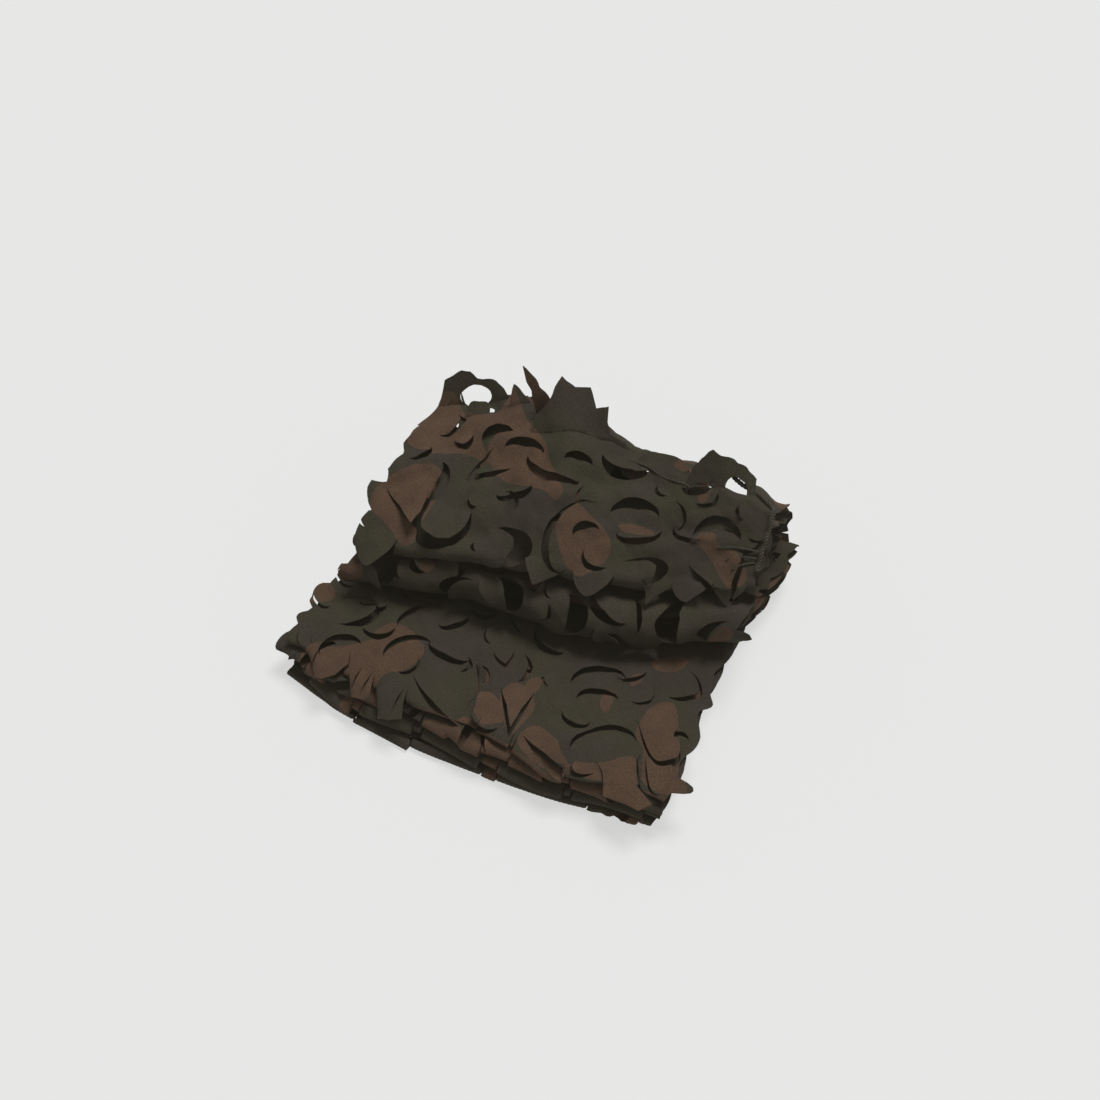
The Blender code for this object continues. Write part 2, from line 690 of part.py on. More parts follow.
def route_points(fold, route, height, step):
    """Points along a smooth route over the cloth, at a height off the sheet's middle."""
    places = [(fold.marks[lay.mark] + lay.along, lay.x) for lay in route]
    knots = [0.0]
    for (u0, x0), (u1, x1) in zip(places, places[1:]):
        knots.append(knots[-1] + (fold.point(u1, x1) - fold.point(u0, x0)).length)
    count = max(3, round(knots[-1] / step))
    points = []
    for i in range(count + 1):
        at = knots[-1] * i / count
        u = smooth_value(knots, [place[0] for place in places], at)
        x = smooth_value(knots, [place[1] for place in places], at)
        points.append(fold.point(u, x) + fold.normal(u, x) * height)
    return points


def build_tube(name, points, parts, material):
    """A curve through the points, ready for its bevel."""
    curve = bpy.data.curves.new(name, "CURVE")
    curve.dimensions = "3D"
    curve.use_fill_caps = True
    curve.twist_mode = "MINIMUM"
    spline = curve.splines.new("POLY")
    spline.points.add(len(points) - 1)
    for control, point in zip(spline.points, points):
        control.co = (*point, 1.0)
    curve.materials.append(material)
    tube = bpy.data.objects.new(name, curve)
    parts.objects.link(tube)
    return tube


def build_rope(fold, parts, cutters, material):
    """The border rope: a three-lobed section that turns once in each lay length."""
    profile = bpy.data.curves.new("rope_section", "CURVE")
    profile.dimensions = "2D"
    outline = profile.splines.new("POLY")
    outline.points.add(ROPE_SIDES - 1)
    for i, control in enumerate(outline.points):
        angle = -math.tau * i / ROPE_SIDES
        radius = ROPE_RADIUS * (1 - ROPE_GROOVE + ROPE_GROOVE * math.cos(ROPE_STRANDS * angle))
        control.co = (radius * math.cos(angle), radius * math.sin(angle), 0.0, 1.0)
    outline.use_cyclic_u = True
    section = bpy.data.objects.new("rope_section", profile)
    section.hide_render = True
    section.display_type = "WIRE"
    cutters.objects.link(section)
    points = route_points(fold, BORDER_ROPE, CLOTH / 2 + ROPE_RADIUS + ROPE_SEAT, ROPE_STEP)
    rope = build_tube("border_rope", points, parts, material)
    rope.data.bevel_mode = "OBJECT"
    rope.data.bevel_object = section
    for i, control in enumerate(rope.data.splines[0].points):
        control.tilt = math.tau * i * ROPE_STEP / ROPE_LAY


def build_net_cords(fold, parts, material):
    for name, route in NET_CORDS.items():
        points = route_points(fold, route, CLOTH / 2 + CORD_RADIUS + CORD_SEAT, CORD_STEP)
        cord = build_tube(name, points, parts, material)
        cord.data.bevel_depth = CORD_RADIUS
        cord.data.bevel_resolution = 2


def main():
    for old in list(bpy.data.objects):
        bpy.data.objects.remove(old)
    parts = new_collection("camouflage_net")
    cutters = new_collection("cutters")
    cloth_material = new_material("garnish", OLIVE, 0.85)
    fold = Fold()
    build_cloth(fold, parts, cutters, cloth_material)
    rope_material = new_material("cord", ROPE_OLIVE, 0.8)
    build_rope(fold, parts, cutters, rope_material)
    build_net_cords(fold, parts, rope_material)


if __name__ == "__main__":
    main()
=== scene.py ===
"""The looks of a camouflage net folded into a flat pack.

The garnish cloth is one sheet. It is meshed flat, with every leaf cut and edge lobe in it, and then each of
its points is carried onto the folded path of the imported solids. A place in the sheet is (x, u): x is across
the pack from left to right, and u is the length along the middle section's path, in metres. Cords and the
border rope lie on the folded cloth.
"""

import logging
import math
from collections.abc import Iterator
from dataclasses import dataclass, field, fields
from enum import Enum

import bpy
import numpy as np
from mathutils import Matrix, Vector
from mathutils.geometry import delaunay_2d_cdt
from mathutils.kdtree import KDTree


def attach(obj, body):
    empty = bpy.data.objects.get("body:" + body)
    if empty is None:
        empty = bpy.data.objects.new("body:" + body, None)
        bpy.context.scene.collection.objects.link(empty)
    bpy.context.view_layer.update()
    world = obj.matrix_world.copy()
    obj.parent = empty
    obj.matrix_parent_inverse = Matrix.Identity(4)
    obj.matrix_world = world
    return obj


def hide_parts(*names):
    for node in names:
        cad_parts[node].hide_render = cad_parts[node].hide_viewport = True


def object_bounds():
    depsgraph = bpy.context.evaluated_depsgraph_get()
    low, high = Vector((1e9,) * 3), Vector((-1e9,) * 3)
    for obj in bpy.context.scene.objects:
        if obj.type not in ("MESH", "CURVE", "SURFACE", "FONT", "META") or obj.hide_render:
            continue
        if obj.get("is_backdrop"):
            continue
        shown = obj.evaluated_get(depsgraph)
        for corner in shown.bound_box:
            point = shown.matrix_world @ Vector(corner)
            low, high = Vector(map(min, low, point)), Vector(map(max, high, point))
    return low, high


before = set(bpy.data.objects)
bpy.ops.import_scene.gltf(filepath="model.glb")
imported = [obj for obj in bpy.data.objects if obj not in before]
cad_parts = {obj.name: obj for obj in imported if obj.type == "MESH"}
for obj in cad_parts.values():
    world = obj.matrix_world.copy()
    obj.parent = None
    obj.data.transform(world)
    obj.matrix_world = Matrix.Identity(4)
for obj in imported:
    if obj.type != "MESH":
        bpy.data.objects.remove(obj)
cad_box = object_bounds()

Array = np.ndarray
Colour = tuple[float, float, float, float]
Pair = tuple[float, float]
log = logging.getLogger("camouflage_net")


class Mark(Enum):
    """A named place along the folded path, from the lowest ply to the foot of the pack's back."""

    START = "start"
    FRONT_0 = "front_0"
    FRONT_1 = "front_1"
    FRONT_2 = "front_2"
    FRONT_3 = "front_3"
    FLAT_TOP = "flat_top"
    ROLL = "roll"
    TUCK = "tuck"
    BROW = "brow"
    CREST = "crest"
    END = "end"


FRONT_FOLDS = (Mark.FRONT_0, Mark.FRONT_1, Mark.FRONT_2, Mark.FRONT_3)
MM_PER_METRE = 1000
Marks = dict[Mark, float]


class Side(Enum):
    """A side edge of the sheet. Its value is the way along x that leads off the sheet there."""

    LEFT = -1
    RIGHT = 1


def put(name: str, data: bpy.types.ID) -> bpy.types.Object:
    """Adds an object to the scene.

    Args:
        name: The object's name.
        data: Its mesh, lamp or camera.

    Returns:
        The object.
    """
    made = bpy.data.objects.new(name, data)
    bpy.context.scene.collection.objects.link(made)
    return made


# ---------------------------------------------------------------------------------------------------------
# Shader graphs


@dataclass(frozen=True)
class Grain:
    """A noise: its cells in each metre, its finer layers and how strong they are."""

    scale: float
    detail: float = 3.0
    roughness: float = 0.5


@dataclass(frozen=True)
class Cloud:
    """A noise that is spread to run from 0 to 1: the level that it starts at, and how fast it rises."""

    grain: Grain
    low: float
    gain: float


class Value:
    """A number socket of a shader graph. An operator on it adds the Math node for that operator."""

    def __init__(self, graph: "Graph", socket: bpy.types.NodeSocket) -> None:
        """Keeps the graph and the socket."""
        self.graph = graph
        self.socket = socket

    def _math(self, operation: str, first: object, second: object = None) -> "Value":
        """Adds a Math node and returns its value."""
        values = {i: v for i, v in enumerate((first, second)) if v is not None}
        return self.graph.value("ShaderNodeMath", {"operation": operation}, values)

    def __add__(self, other: object) -> "Value":
        """self + other."""
        return self._math("ADD", self, other)

    def __sub__(self, other: object) -> "Value":
        """self - other."""
        return self._math("SUBTRACT", self, other)

    def __mul__(self, other: object) -> "Value":
        """self * other."""
        return self._math("MULTIPLY", self, other)

    def __truediv__(self, other: object) -> "Value":
        """self / other."""
        return self._math("DIVIDE", self, other)

    def __radd__(self, other: object) -> "Value":
        """other + self."""
        return self._math("ADD", other, self)

    def __rsub__(self, other: object) -> "Value":
        """other - self."""
        return self._math("SUBTRACT", other, self)

    def __rmul__(self, other: object) -> "Value":
        """other * self."""
        return self._math("MULTIPLY", other, self)

    def __rtruediv__(self, other: object) -> "Value":
        """other / self."""
        return self._math("DIVIDE", other, self)

    def sine(self) -> "Value":
        """The sine of self, in radians."""
        return self._math("SINE", self)

    def clamped(self) -> "Value":
        """self, held between 0 and 1."""
        return self._math("MINIMUM", self._math("MAXIMUM", self, 0.0), 1.0)


class Graph:
    """The node tree of one material."""

    MIX_LOW = 6
    MIX_HIGH = 7
    MIX_RESULT = 2

    def __init__(self, name: str) -> None:
        """Makes a material with a Principled shader and its output.

        Args:
            name: The material's name.
        """
        self.material = bpy.data.materials.new(name)
        self.material.use_nodes = True
        self.tree = self.material.node_tree
        self.shader = self.tree.nodes["Principled BSDF"]

    def node(self, kind: str, settings: dict[str, object], sockets: dict[object, object]) -> bpy.types.Node:
        """Adds a node.

        Args:
            kind: The node's type.
            settings: Its own settings, which are set first.
            sockets: A value or a link for each input that is named or numbered.

        Returns:
            The new node.
        """
        made = self.tree.nodes.new(kind)
        for name, setting in settings.items():
            setattr(made, name, setting)
        for key, value in sockets.items():
            self.feed(made.inputs[key], value)
        return made

    def feed(self, socket: bpy.types.NodeSocket, value: object) -> None:
        """Links a value or a node's socket to an input, or sets the input's own value.

        Args:
            socket: The input.
            value: A Value, a node's output, or a constant.
        """
        if isinstance(value, Value):
            self.tree.links.new(value.socket, socket)
        elif isinstance(value, bpy.types.NodeSocket):
            self.tree.links.new(value, socket)
        else:
            socket.default_value = value

    def value(self, kind: str, settings: dict[str, object], sockets: dict[object, object]) -> Value:
        """Adds a node and returns its first output as a value."""
        return Value(self, self.node(kind, settings, sockets).outputs[0])

    def noise(self, place: object, grain: Grain) -> Value:
        """Adds a noise.

        Args:
            place: The place that it's read at.
            grain: Its grain.

        Returns:
            Its value, which lies about 0.5.
        """
        sockets = {"Vector": place, "Scale": grain.scale}
        sockets |= {"Detail": grain.detail, "Roughness": grain.roughness}
        return Value(self, self.node("ShaderNodeTexNoise", {}, sockets).outputs["Fac"])

    def cloud(self, place: object, cloud: Cloud) -> Value:
        """A spread noise value between 0 and 1 at a place."""
        return ((self.noise(place, cloud.grain) - cloud.low) * cloud.gain).clamped()

    def attribute(self, name: str) -> bpy.types.Node:
        """The node that reads one of the mesh's own attributes."""
        return self.node("ShaderNodeAttribute", {"attribute_name": name}, {})

    def blend(self, share: object, low: object, high: object) -> bpy.types.NodeSocket:
        """Mixes two colours.

        Args:
            share: How far the colour lies from low to high.
            low: The colour at a share of 0.
            high: The colour at a share of 1.

        Returns:
            The mixed colour's socket.
        """
        sockets = {"Factor": share, self.MIX_LOW: low, self.MIX_HIGH: high}
        return self.node("ShaderNodeMix", {"data_type": "RGBA"}, sockets).outputs[self.MIX_RESULT]

    def tinted(self, colour: object, strength: Value) -> bpy.types.NodeSocket:
        """A colour made lighter or darker by a factor."""
        sockets = {0: colour, "Scale": strength}
        return self.node("ShaderNodeVectorMath", {"operation": "SCALE"}, sockets).outputs[0]

    def bump(self, height: Value, strength: float, distance: float) -> bpy.types.NodeSocket:
        """The normal that a height gives."""
        sockets = {"Height": height, "Strength": strength, "Distance": distance}
        return self.node("ShaderNodeBump", {}, sockets).outputs["Normal"]


@dataclass(frozen=True)
class GarnishFinish:
    """Coated polyester garnish cloth, printed olive with brown patches."""

    name: str = "garnish_cloth_print"
    olive: Colour = (0.057, 0.051, 0.032, 1.0)
    grey_olive: Colour = (0.055, 0.046, 0.035, 1.0)
    brown: Colour = (0.125, 0.073, 0.045, 1.0)
    dark_brown: Colour = (0.098, 0.059, 0.040, 1.0)
    tone: Cloud = Cloud(Grain(17.0, 3.0, 0.55), 0.42, 6.0)
    fade: Cloud = Cloud(Grain(75.0, 5.0, 0.6), 0.3, 2.4)
    print_edge_mm: float = 0.5
    ragged: Grain = Grain(160.0, 2.0)
    ragged_mm: float = 1.4
    fleck: Grain = Grain(620.0, 3.0, 0.75)
    fleck_strength: float = 0.92
    mottle: Grain = Grain(34.0, 5.0, 0.66)
    mottle_low: float = 0.76
    mottle_range: float = 0.48
    thread: float = 0.0011
    thread_height: float = 0.12
    crease: Grain = Grain(60.0, 6.0, 0.65)
    bump: float = 0.9
    bump_depth: float = 0.0031
    rough_low: float = 0.74
    rough_range: float = 0.22
    specular: float = 0.18

    def material(self) -> bpy.types.Material:
        """Builds the print, the fine weave and the soft creases of the coating.

        Returns:
            The material, which reads the sheet's own chart and depth in brown.
        """
        graph = Graph(self.name)
        chart = graph.attribute("chart").outputs["Vector"]
        brown_mm = Value(graph, graph.attribute("brown_mm").outputs["Fac"])
        ragged = (graph.noise(chart, self.ragged) - 0.5) * self.ragged_mm
        mask = ((brown_mm + ragged) / self.print_edge_mm + 0.5).clamped()
        olive = graph.blend(graph.cloud(chart, self.tone), self.olive, self.grey_olive)
        brown = graph.blend(graph.cloud(chart, self.fade), self.dark_brown, self.brown)
        fleck = 1 + (graph.noise(chart, self.fleck) - 0.5) * 2 * self.fleck_strength
        mottle = self.mottle_low + graph.noise(chart, self.mottle) * self.mottle_range
        colour = graph.tinted(graph.blend(mask, olive, brown), fleck * mottle)
        parts = graph.node("ShaderNodeSeparateXYZ", {}, {0: chart})
        across = Value(graph, parts.outputs[0])
        along = Value(graph, parts.outputs[1])
        turn = math.tau / self.thread
        weave = (across * turn).sine() * (along * turn).sine()
        crease = graph.noise(chart, self.crease)
        height = weave * self.thread_height + crease
        shader = graph.shader.inputs
        graph.feed(shader["Base Color"], colour)
        graph.feed(shader["Roughness"], self.rough_low + crease * self.rough_range)
        graph.feed(shader["Normal"], graph.bump(height, self.bump, self.bump_depth))
        shader["Specular IOR Level"].default_value = self.specular
        return graph.material


@dataclass(frozen=True)
class CordFinish:
    """Twisted cord, with a fine fuzz and darker hollows between its strands."""

    name: str
    light: Colour
    dark: Colour
    fibre: Grain = Grain(900.0, 4.0, 0.7)
    fibre_share: float = 0.6
    worn: Cloud = Cloud(Grain(90.0, 3.0), 0.35, 3.0)
    worn_share: float = 0.5
    bump: float = 0.6
    bump_depth: float = 0.0004
    rough_low: float = 0.72
    rough_range: float = 0.2
    specular: float = 0.2

    def material(self) -> bpy.types.Material:
        """Builds the twisted fibres of the cord.

        Returns:
            The material.
        """
        graph = Graph(self.name)
        place = graph.node("ShaderNodeTexCoord", {}, {}).outputs["Object"]
        fibre = graph.noise(place, self.fibre)
        worn = graph.cloud(place, self.worn)
        share = (fibre * self.fibre_share + worn * self.worn_share).clamped()
        shader = graph.shader.inputs
        graph.feed(shader["Base Color"], graph.blend(share, self.dark, self.light))
        graph.feed(shader["Roughness"], self.rough_low + fibre * self.rough_range)
        graph.feed(shader["Normal"], graph.bump(fibre, self.bump, self.bump_depth))
        shader["Specular IOR Level"].default_value = self.specular
        return graph.material


@dataclass(frozen=True)
class FloorFinish:
    """Plain pale paper, lit evenly."""

    name: str = "pale_floor"
    colour: Colour = (0.20, 0.20, 0.20, 1.0)
    glow: Colour = (0.592, 0.598, 0.588, 1.0)
    roughness: float = 0.95
    specular: float = 0.1

    def material(self) -> bpy.types.Material:
        """Builds the matt floor.

        Returns:
            The material.
        """
        graph = Graph(self.name)
        shader = graph.shader.inputs
        shader["Base Color"].default_value = self.colour
        shader["Emission Color"].default_value = self.glow
        shader["Emission Strength"].default_value = 1.0
        shader["Roughness"].default_value = self.roughness
        shader["Specular IOR Level"].default_value = self.specular
        return graph.material


# ---------------------------------------------------------------------------------------------------------
# The folded path


@dataclass(frozen=True)
class SectionRow:
    """Where the folds lie in one section of the pack, at a place across it."""

    x: float
    front_low: float
    front_high: float
    valley: float
    crease: float
    crease_z: float
    crest: float
    crest_z: float


SECTION_ROWS = (
    SectionRow(-0.205, -0.190, -0.178, -0.100, -0.074, 0.082, 0.124, 0.141),
    SectionRow(-0.130, -0.208, -0.190, -0.080, -0.058, 0.084, 0.134, 0.150),
    SectionRow(-0.060, -0.214, -0.190, -0.066, -0.042, 0.087, 0.126, 0.163),
    SectionRow(-0.010, -0.216, -0.194, -0.063, -0.032, 0.089, 0.120, 0.166),
    SectionRow(0.050, -0.214, -0.200, -0.060, -0.020, 0.090, 0.120, 0.150),
    SectionRow(0.110, -0.210, -0.204, -0.050, -0.002, 0.091, 0.118, 0.149),
    SectionRow(0.160, -0.202, -0.194, -0.025, 0.021, 0.089, 0.110, 0.150),
    SectionRow(0.222, -0.194, -0.194, 0.006, 0.046, 0.083, 0.100, 0.144),
)


def smooth_curve(places: Array, values: Array, at: Array) -> Array:
    """Reads a smooth curve through values.

    Args:
        places: Rising places, one for each value.
        values: The values there.
        at: The places to read.

    Returns:
        The curve's value at each place that is read.
    """
    places = np.asarray(places, float)
    values = np.asarray(values, float)
    at = np.clip(np.asarray(at, float), places[0], places[-1])
    i = np.clip(np.searchsorted(places, at, side="right") - 1, 0, len(places) - 2)
    slope = np.empty(len(places))
    slope[1:-1] = (values[2:] - values[:-2]) / (places[2:] - places[:-2])
    slope[0] = (values[1] - values[0]) / (places[1] - places[0])
    slope[-1] = (values[-1] - values[-2]) / (places[-1] - places[-2])
    span = places[i + 1] - places[i]
    t = (at - places[i]) / span
    rise = values[i + 1] - values[i]
    start = slope[i] * span
    end = slope[i + 1] * span
    return values[i] + t * start + t * t * (3 * rise - 2 * start - end) + t**3 * (start + end - 2 * rise)


@dataclass
class SectionPen:
    """Draws the folded path of one section as (y, z) stations and keeps the marks that it passes."""

    row: SectionRow
    cloth: float = 0.0025
    ply_pitch: float = 0.0061
    plies: int = 8
    bulge: float = 0.0012
    turn_steps: int = 7
    roll_steps: int = 11
    run_stations: int = 5
    run_margin: float = 0.010
    start_inset: float = 0.016
    back: float = 0.190
    back_inset: float = 0.022
    wobble: float = 0.0035
    wobble_length: float = 0.19
    wobble_turn: float = 2.1
    roll_foot_z: float = 0.0535
    roll_overhang: float = 0.004
    roll_rise: float = 0.004
    shelf_run: float = 0.026
    shelf_drop: float = 0.001
    shelf_end: tuple[float, float] = (0.105, 0.0865)
    tuck_back: float = 0.140
    tuck_lead: float = 0.012
    tuck_top_z: float = 0.078
    tuck_low_z: float = 0.069
    tuck_inset: float = 0.030
    wrap_back: float = 0.161
    wrap_z: float = 0.099
    brow_thickness: float = 0.020
    brow_lift: float = 0.0075
    brow_overhang: float = 0.009
    brow_foot: float = 0.013
    crown_shares: tuple[float, ...] = (0.18, 0.38, 0.58, 0.78, 0.92)
    crown_power: float = 1.7
    crest_dip: float = 0.001
    lining_drop: float = 0.0080
    lining_set_back: float = 0.0030
    crest_fall: tuple[Pair, ...] = ((0.012, 0.003), (0.025, 0.014))
    back_fall: tuple[Pair, ...] = ((-0.024, 0.040), (-0.009, 0.068))
    back_foot: tuple[Pair, ...] = ((-0.002, 0.055), (0.001, 0.030), (0.003, 0.008))
    points: list[tuple[float, float]] = field(default_factory=list)
    marks: dict[Mark, int] = field(default_factory=dict)

    def draw(self) -> None:
        """Draws the whole section."""
        self.points = [(self.back - self.start_inset, self.cloth / 2)]
        self.marks = {Mark.START: 0}
        self._stack()
        self._roll()
        self._crown()

    def _mark(self, mark: Mark, before_end: int = 0) -> None:
        """Names the last station, or one that lies some steps before it."""
        self.marks[mark] = len(self.points) - 1 - before_end

    def _turn(self, tip_y: float, from_z: float, to_z: float, way: int, steps: int) -> None:
        """Draws a half circle.

        Args:
            tip_y: Where its outermost point lies.
            from_z: The height that it starts at.
            to_z: The height that it ends at.
            way: 1 for a turn at the back and -1 for one at the front.
            steps: Its stations.
        """
        radius = abs(to_z - from_z) / 2
        for angle in np.linspace(-math.pi / 2, math.pi / 2, steps):
            y = tip_y - way * radius * (1 - math.cos(angle))
            self.points.append((y, (from_z + to_z) / 2 + (to_z - from_z) / 2 * math.sin(angle)))

    def _fold(self, tip_y: float, to_z: float, bulge: Pair = (0.0, 0.0), steps: int = 0) -> None:
        """Runs level to a fold and turns there to another height.

        Args:
            tip_y: Where the fold's outermost point lies.
            to_z: The height that the turn ends at, without its bulge.
            bulge: How far the turn swells past each of its two plies.
            steps: The stations in the turn, or 0 for as many as a plain turn has.
        """
        from_y, from_z = self.points[-1]
        side = 1 if tip_y > from_y else -1
        way = 1 if to_z > from_z else -1
        low = from_z - way * bulge[0]
        high = to_z + way * bulge[1]
        first = from_y + side * self.run_margin
        last = tip_y - side * (abs(high - low) / 2 + self.run_margin)
        self.points.extend((y, from_z) for y in np.linspace(first, last, self.run_stations))
        self._turn(tip_y, low, high, side, steps or self.turn_steps)

    def _stack(self) -> None:
        """Draws the flat plies, from the ground up, and the last fold at the back."""
        row = self.row
        folds = self.plies // 2
        for ply in range(self.plies):
            z = self.cloth / 2 + (ply + 1) * self.ply_pitch
            fold = ply // 2
            if ply % 2 == 0:
                tip = row.front_low + (row.front_high - row.front_low) * fold / (folds - 1)
                tip += self._wobble(fold) if fold else 0.0
                self._fold(tip, z, (self.bulge if fold else 0.0, self.bulge))
                self._mark(FRONT_FOLDS[fold], self.turn_steps // 2)
            elif ply < self.plies - 1:
                tip = self.back - self.back_inset + self._wobble(fold + 0.5)
                self._fold(tip, z, (self.bulge, self.bulge))
            else:
                self._mark(Mark.FLAT_TOP)
                self._fold(self.back - self.back_inset, self.roll_foot_z, (self.bulge, 0.0))

    def _wobble(self, fold: float) -> float:
        """How far a fold's tip stands out of line, at this place across the pack."""
        return self.wobble * math.sin(math.tau * self.row.x / self.wobble_length + self.wobble_turn * fold)

    def _roll(self) -> None:
        """Draws the roll behind the valley, the crease over it and the ply tucked back inside it."""
        row = self.row
        roll_top = row.crease_z + self.roll_rise
        self._fold(row.valley - self.roll_overhang, roll_top, steps=self.roll_steps)
        self._mark(Mark.ROLL, self.roll_steps // 2)
        y = self.points[-1][0]
        self.points += [((y + row.crease) / 2, roll_top), (row.crease, row.crease_z)]
        self.points += [(row.crease + self.shelf_run, row.crease_z - self.shelf_drop), self.shelf_end]
        low = self.shelf_end[1]
        self.points.append((self.tuck_back - self.tuck_lead, low))
        self._turn(self.tuck_back, low, self.tuck_top_z, 1, self.turn_steps)
        self._fold(row.valley + self.tuck_inset, self.tuck_low_z)
        self._mark(Mark.TUCK)
        self._fold(self.wrap_back, self.wrap_z)

    def _crown(self) -> None:
        """Draws the crown's lining ply, the brow, the crown up to the crest, and the back to the ground."""
        row = self.row
        low = row.crease_z + self.brow_lift
        tip = row.crease - self.brow_overhang
        foot_y = tip + self.brow_thickness / 2
        foot_z = low + self.brow_thickness
        face = []
        for share in self.crown_shares:
            lift = 1 - (1 - share) ** self.crown_power
            y = foot_y + (row.crest - foot_y) * share
            face.append((y, foot_z + (row.crest_z - self.crest_dip - foot_z) * lift))
        self.points += [(y + self.lining_set_back, z - self.lining_drop) for y, z in reversed(face)]
        self.points.append((row.crease + self.brow_foot, low))
        self._turn(tip, low, foot_z, -1, self.roll_steps)
        self._mark(Mark.BROW, self.roll_steps // 2)
        self.points += face
        self.points.append((row.crest, row.crest_z))
        self._mark(Mark.CREST)
        self.points += [(row.crest + out, row.crest_z - down) for out, down in self.crest_fall]
        self.points += [(self.back + out, row.crest_z - down) for out, down in self.back_fall]
        self.points += [(self.back + out, z) for out, z in self.back_foot]
        self._mark(Mark.END)


@dataclass(frozen=True)
class Profile:
    """A value along the sheet, straight between its rows: a mark, the length past it, and the value."""

    rows: tuple[tuple[Mark, float, float], ...]

    def read(self, u: Array, marks: Marks) -> Array:
        """The value at places along the sheet, from where each mark lies."""
        places = [marks[mark] + along for mark, along, _ in self.rows]
        return np.interp(u, places, [value for _, _, value in self.rows])


def wave_phase(x: Array, u: Array, length: float, turn: float, start: float) -> Array:
    """The phase of a straight wave over the flat sheet, from its length, direction and start."""
    return math.tau / length * (x * math.cos(turn) + u * math.sin(turn)) + start


@dataclass(frozen=True)
class SeededWaves:
    """Straight waves over the flat sheet, of seeded lengths and directions."""

    seed: int
    waves: int
    shortest: float
    longest: float

    def phases(self, x: Array, u: Array) -> Iterator[tuple[float, Array]]:
        """Draws the waves one by one.

        Args:
            x: Places across the sheet.
            u: Places along it.

        Yields:
            Each wave's direction, and its phase at the places.
        """
        draw = np.random.default_rng(self.seed)
        for _ in range(self.waves):
            length = draw.uniform(self.shortest, self.longest)
            turn, start = draw.uniform(0, math.tau, 2)
            yield turn, wave_phase(x, u, length, turn, start)


@dataclass(frozen=True)
class Ripple(SeededWaves):
    """Soft unevenness of the cloth: a few waves, stronger at some marks than at others."""

    seed: int = 7
    waves: int = 14
    shortest: float = 0.035
    longest: float = 0.110
    strength: Profile = Profile((
        (Mark.START, 0.0, 0.0),
        (Mark.FLAT_TOP, -0.60, 0.0003),
        (Mark.FLAT_TOP, 0.02, 0.0008),
        (Mark.FLAT_TOP, 0.20, 0.0004),
        (Mark.ROLL, -0.05, 0.0012),
        (Mark.ROLL, 0.06, 0.0008),
        (Mark.ROLL, 0.20, 0.0),
        (Mark.BROW, -0.15, 0.0),
        (Mark.BROW, 0.0, 0.0012),
        (Mark.BROW, 0.06, 0.0020),
        (Mark.CREST, 0.0, 0.0026),
        (Mark.CREST, 0.10, 0.0024),
        (Mark.END, 0.0, 0.0020),
    ))

    def height(self, x: Array, u: Array, marks: Marks) -> Array:
        """The height of the waves at places of the sheet.

        Args:
            x: Places across the sheet.
            u: Places along it.
            marks: Where each mark lies along the sheet.

        Returns:
            The heights, in metres.
        """
        total = np.zeros(np.broadcast(x, u).shape)
        for _, phase in self.phases(x, u):
            total += np.sin(phase)
        return total / math.sqrt(self.waves / 2) * self.strength.read(u, marks)


@dataclass(frozen=True)
class Crumple(SeededWaves):
    """Small dents and ridges of the coated cloth, from waves that bend one another."""

    seed: int = 11
    waves: int = 10
    shortest: float = 0.016
    longest: float = 0.046
    depth: float = 0.0011
    bend: float = 0.8
    bend_rate: float = 0.37
    share: Profile = Profile((
        (Mark.FLAT_TOP, -0.02, 0.0),
        (Mark.FLAT_TOP, 0.02, 0.55),
        (Mark.FLAT_TOP, 0.20, 0.2),
        (Mark.ROLL, -0.06, 0.6),
        (Mark.ROLL, 0.05, 0.8),
        (Mark.ROLL, 0.10, 0.0),
        (Mark.BROW, -0.03, 0.0),
        (Mark.BROW, 0.01, 1.0),
        (Mark.CREST, 0.02, 1.0),
        (Mark.END, -0.06, 0.5),
        (Mark.END, 0.0, 0.0),
    ))

    def height(self, x: Array, u: Array, marks: Marks) -> Array:
        """The height of the dents and ridges, which are none between the plies.

        Args:
            x: Places across the sheet.
            u: Places along it.
            marks: Where each mark lies along the sheet.

        Returns:
            The heights, in metres.
        """
        total = np.zeros(len(x))
        for turn, phase in self.phases(x, u):
            total += abs(np.sin(phase / 2 + self.bend * np.sin(phase * self.bend_rate + turn))) - 2 / math.pi
        return total / math.sqrt(self.waves) * 2 * self.depth * self.share.read(u, marks)


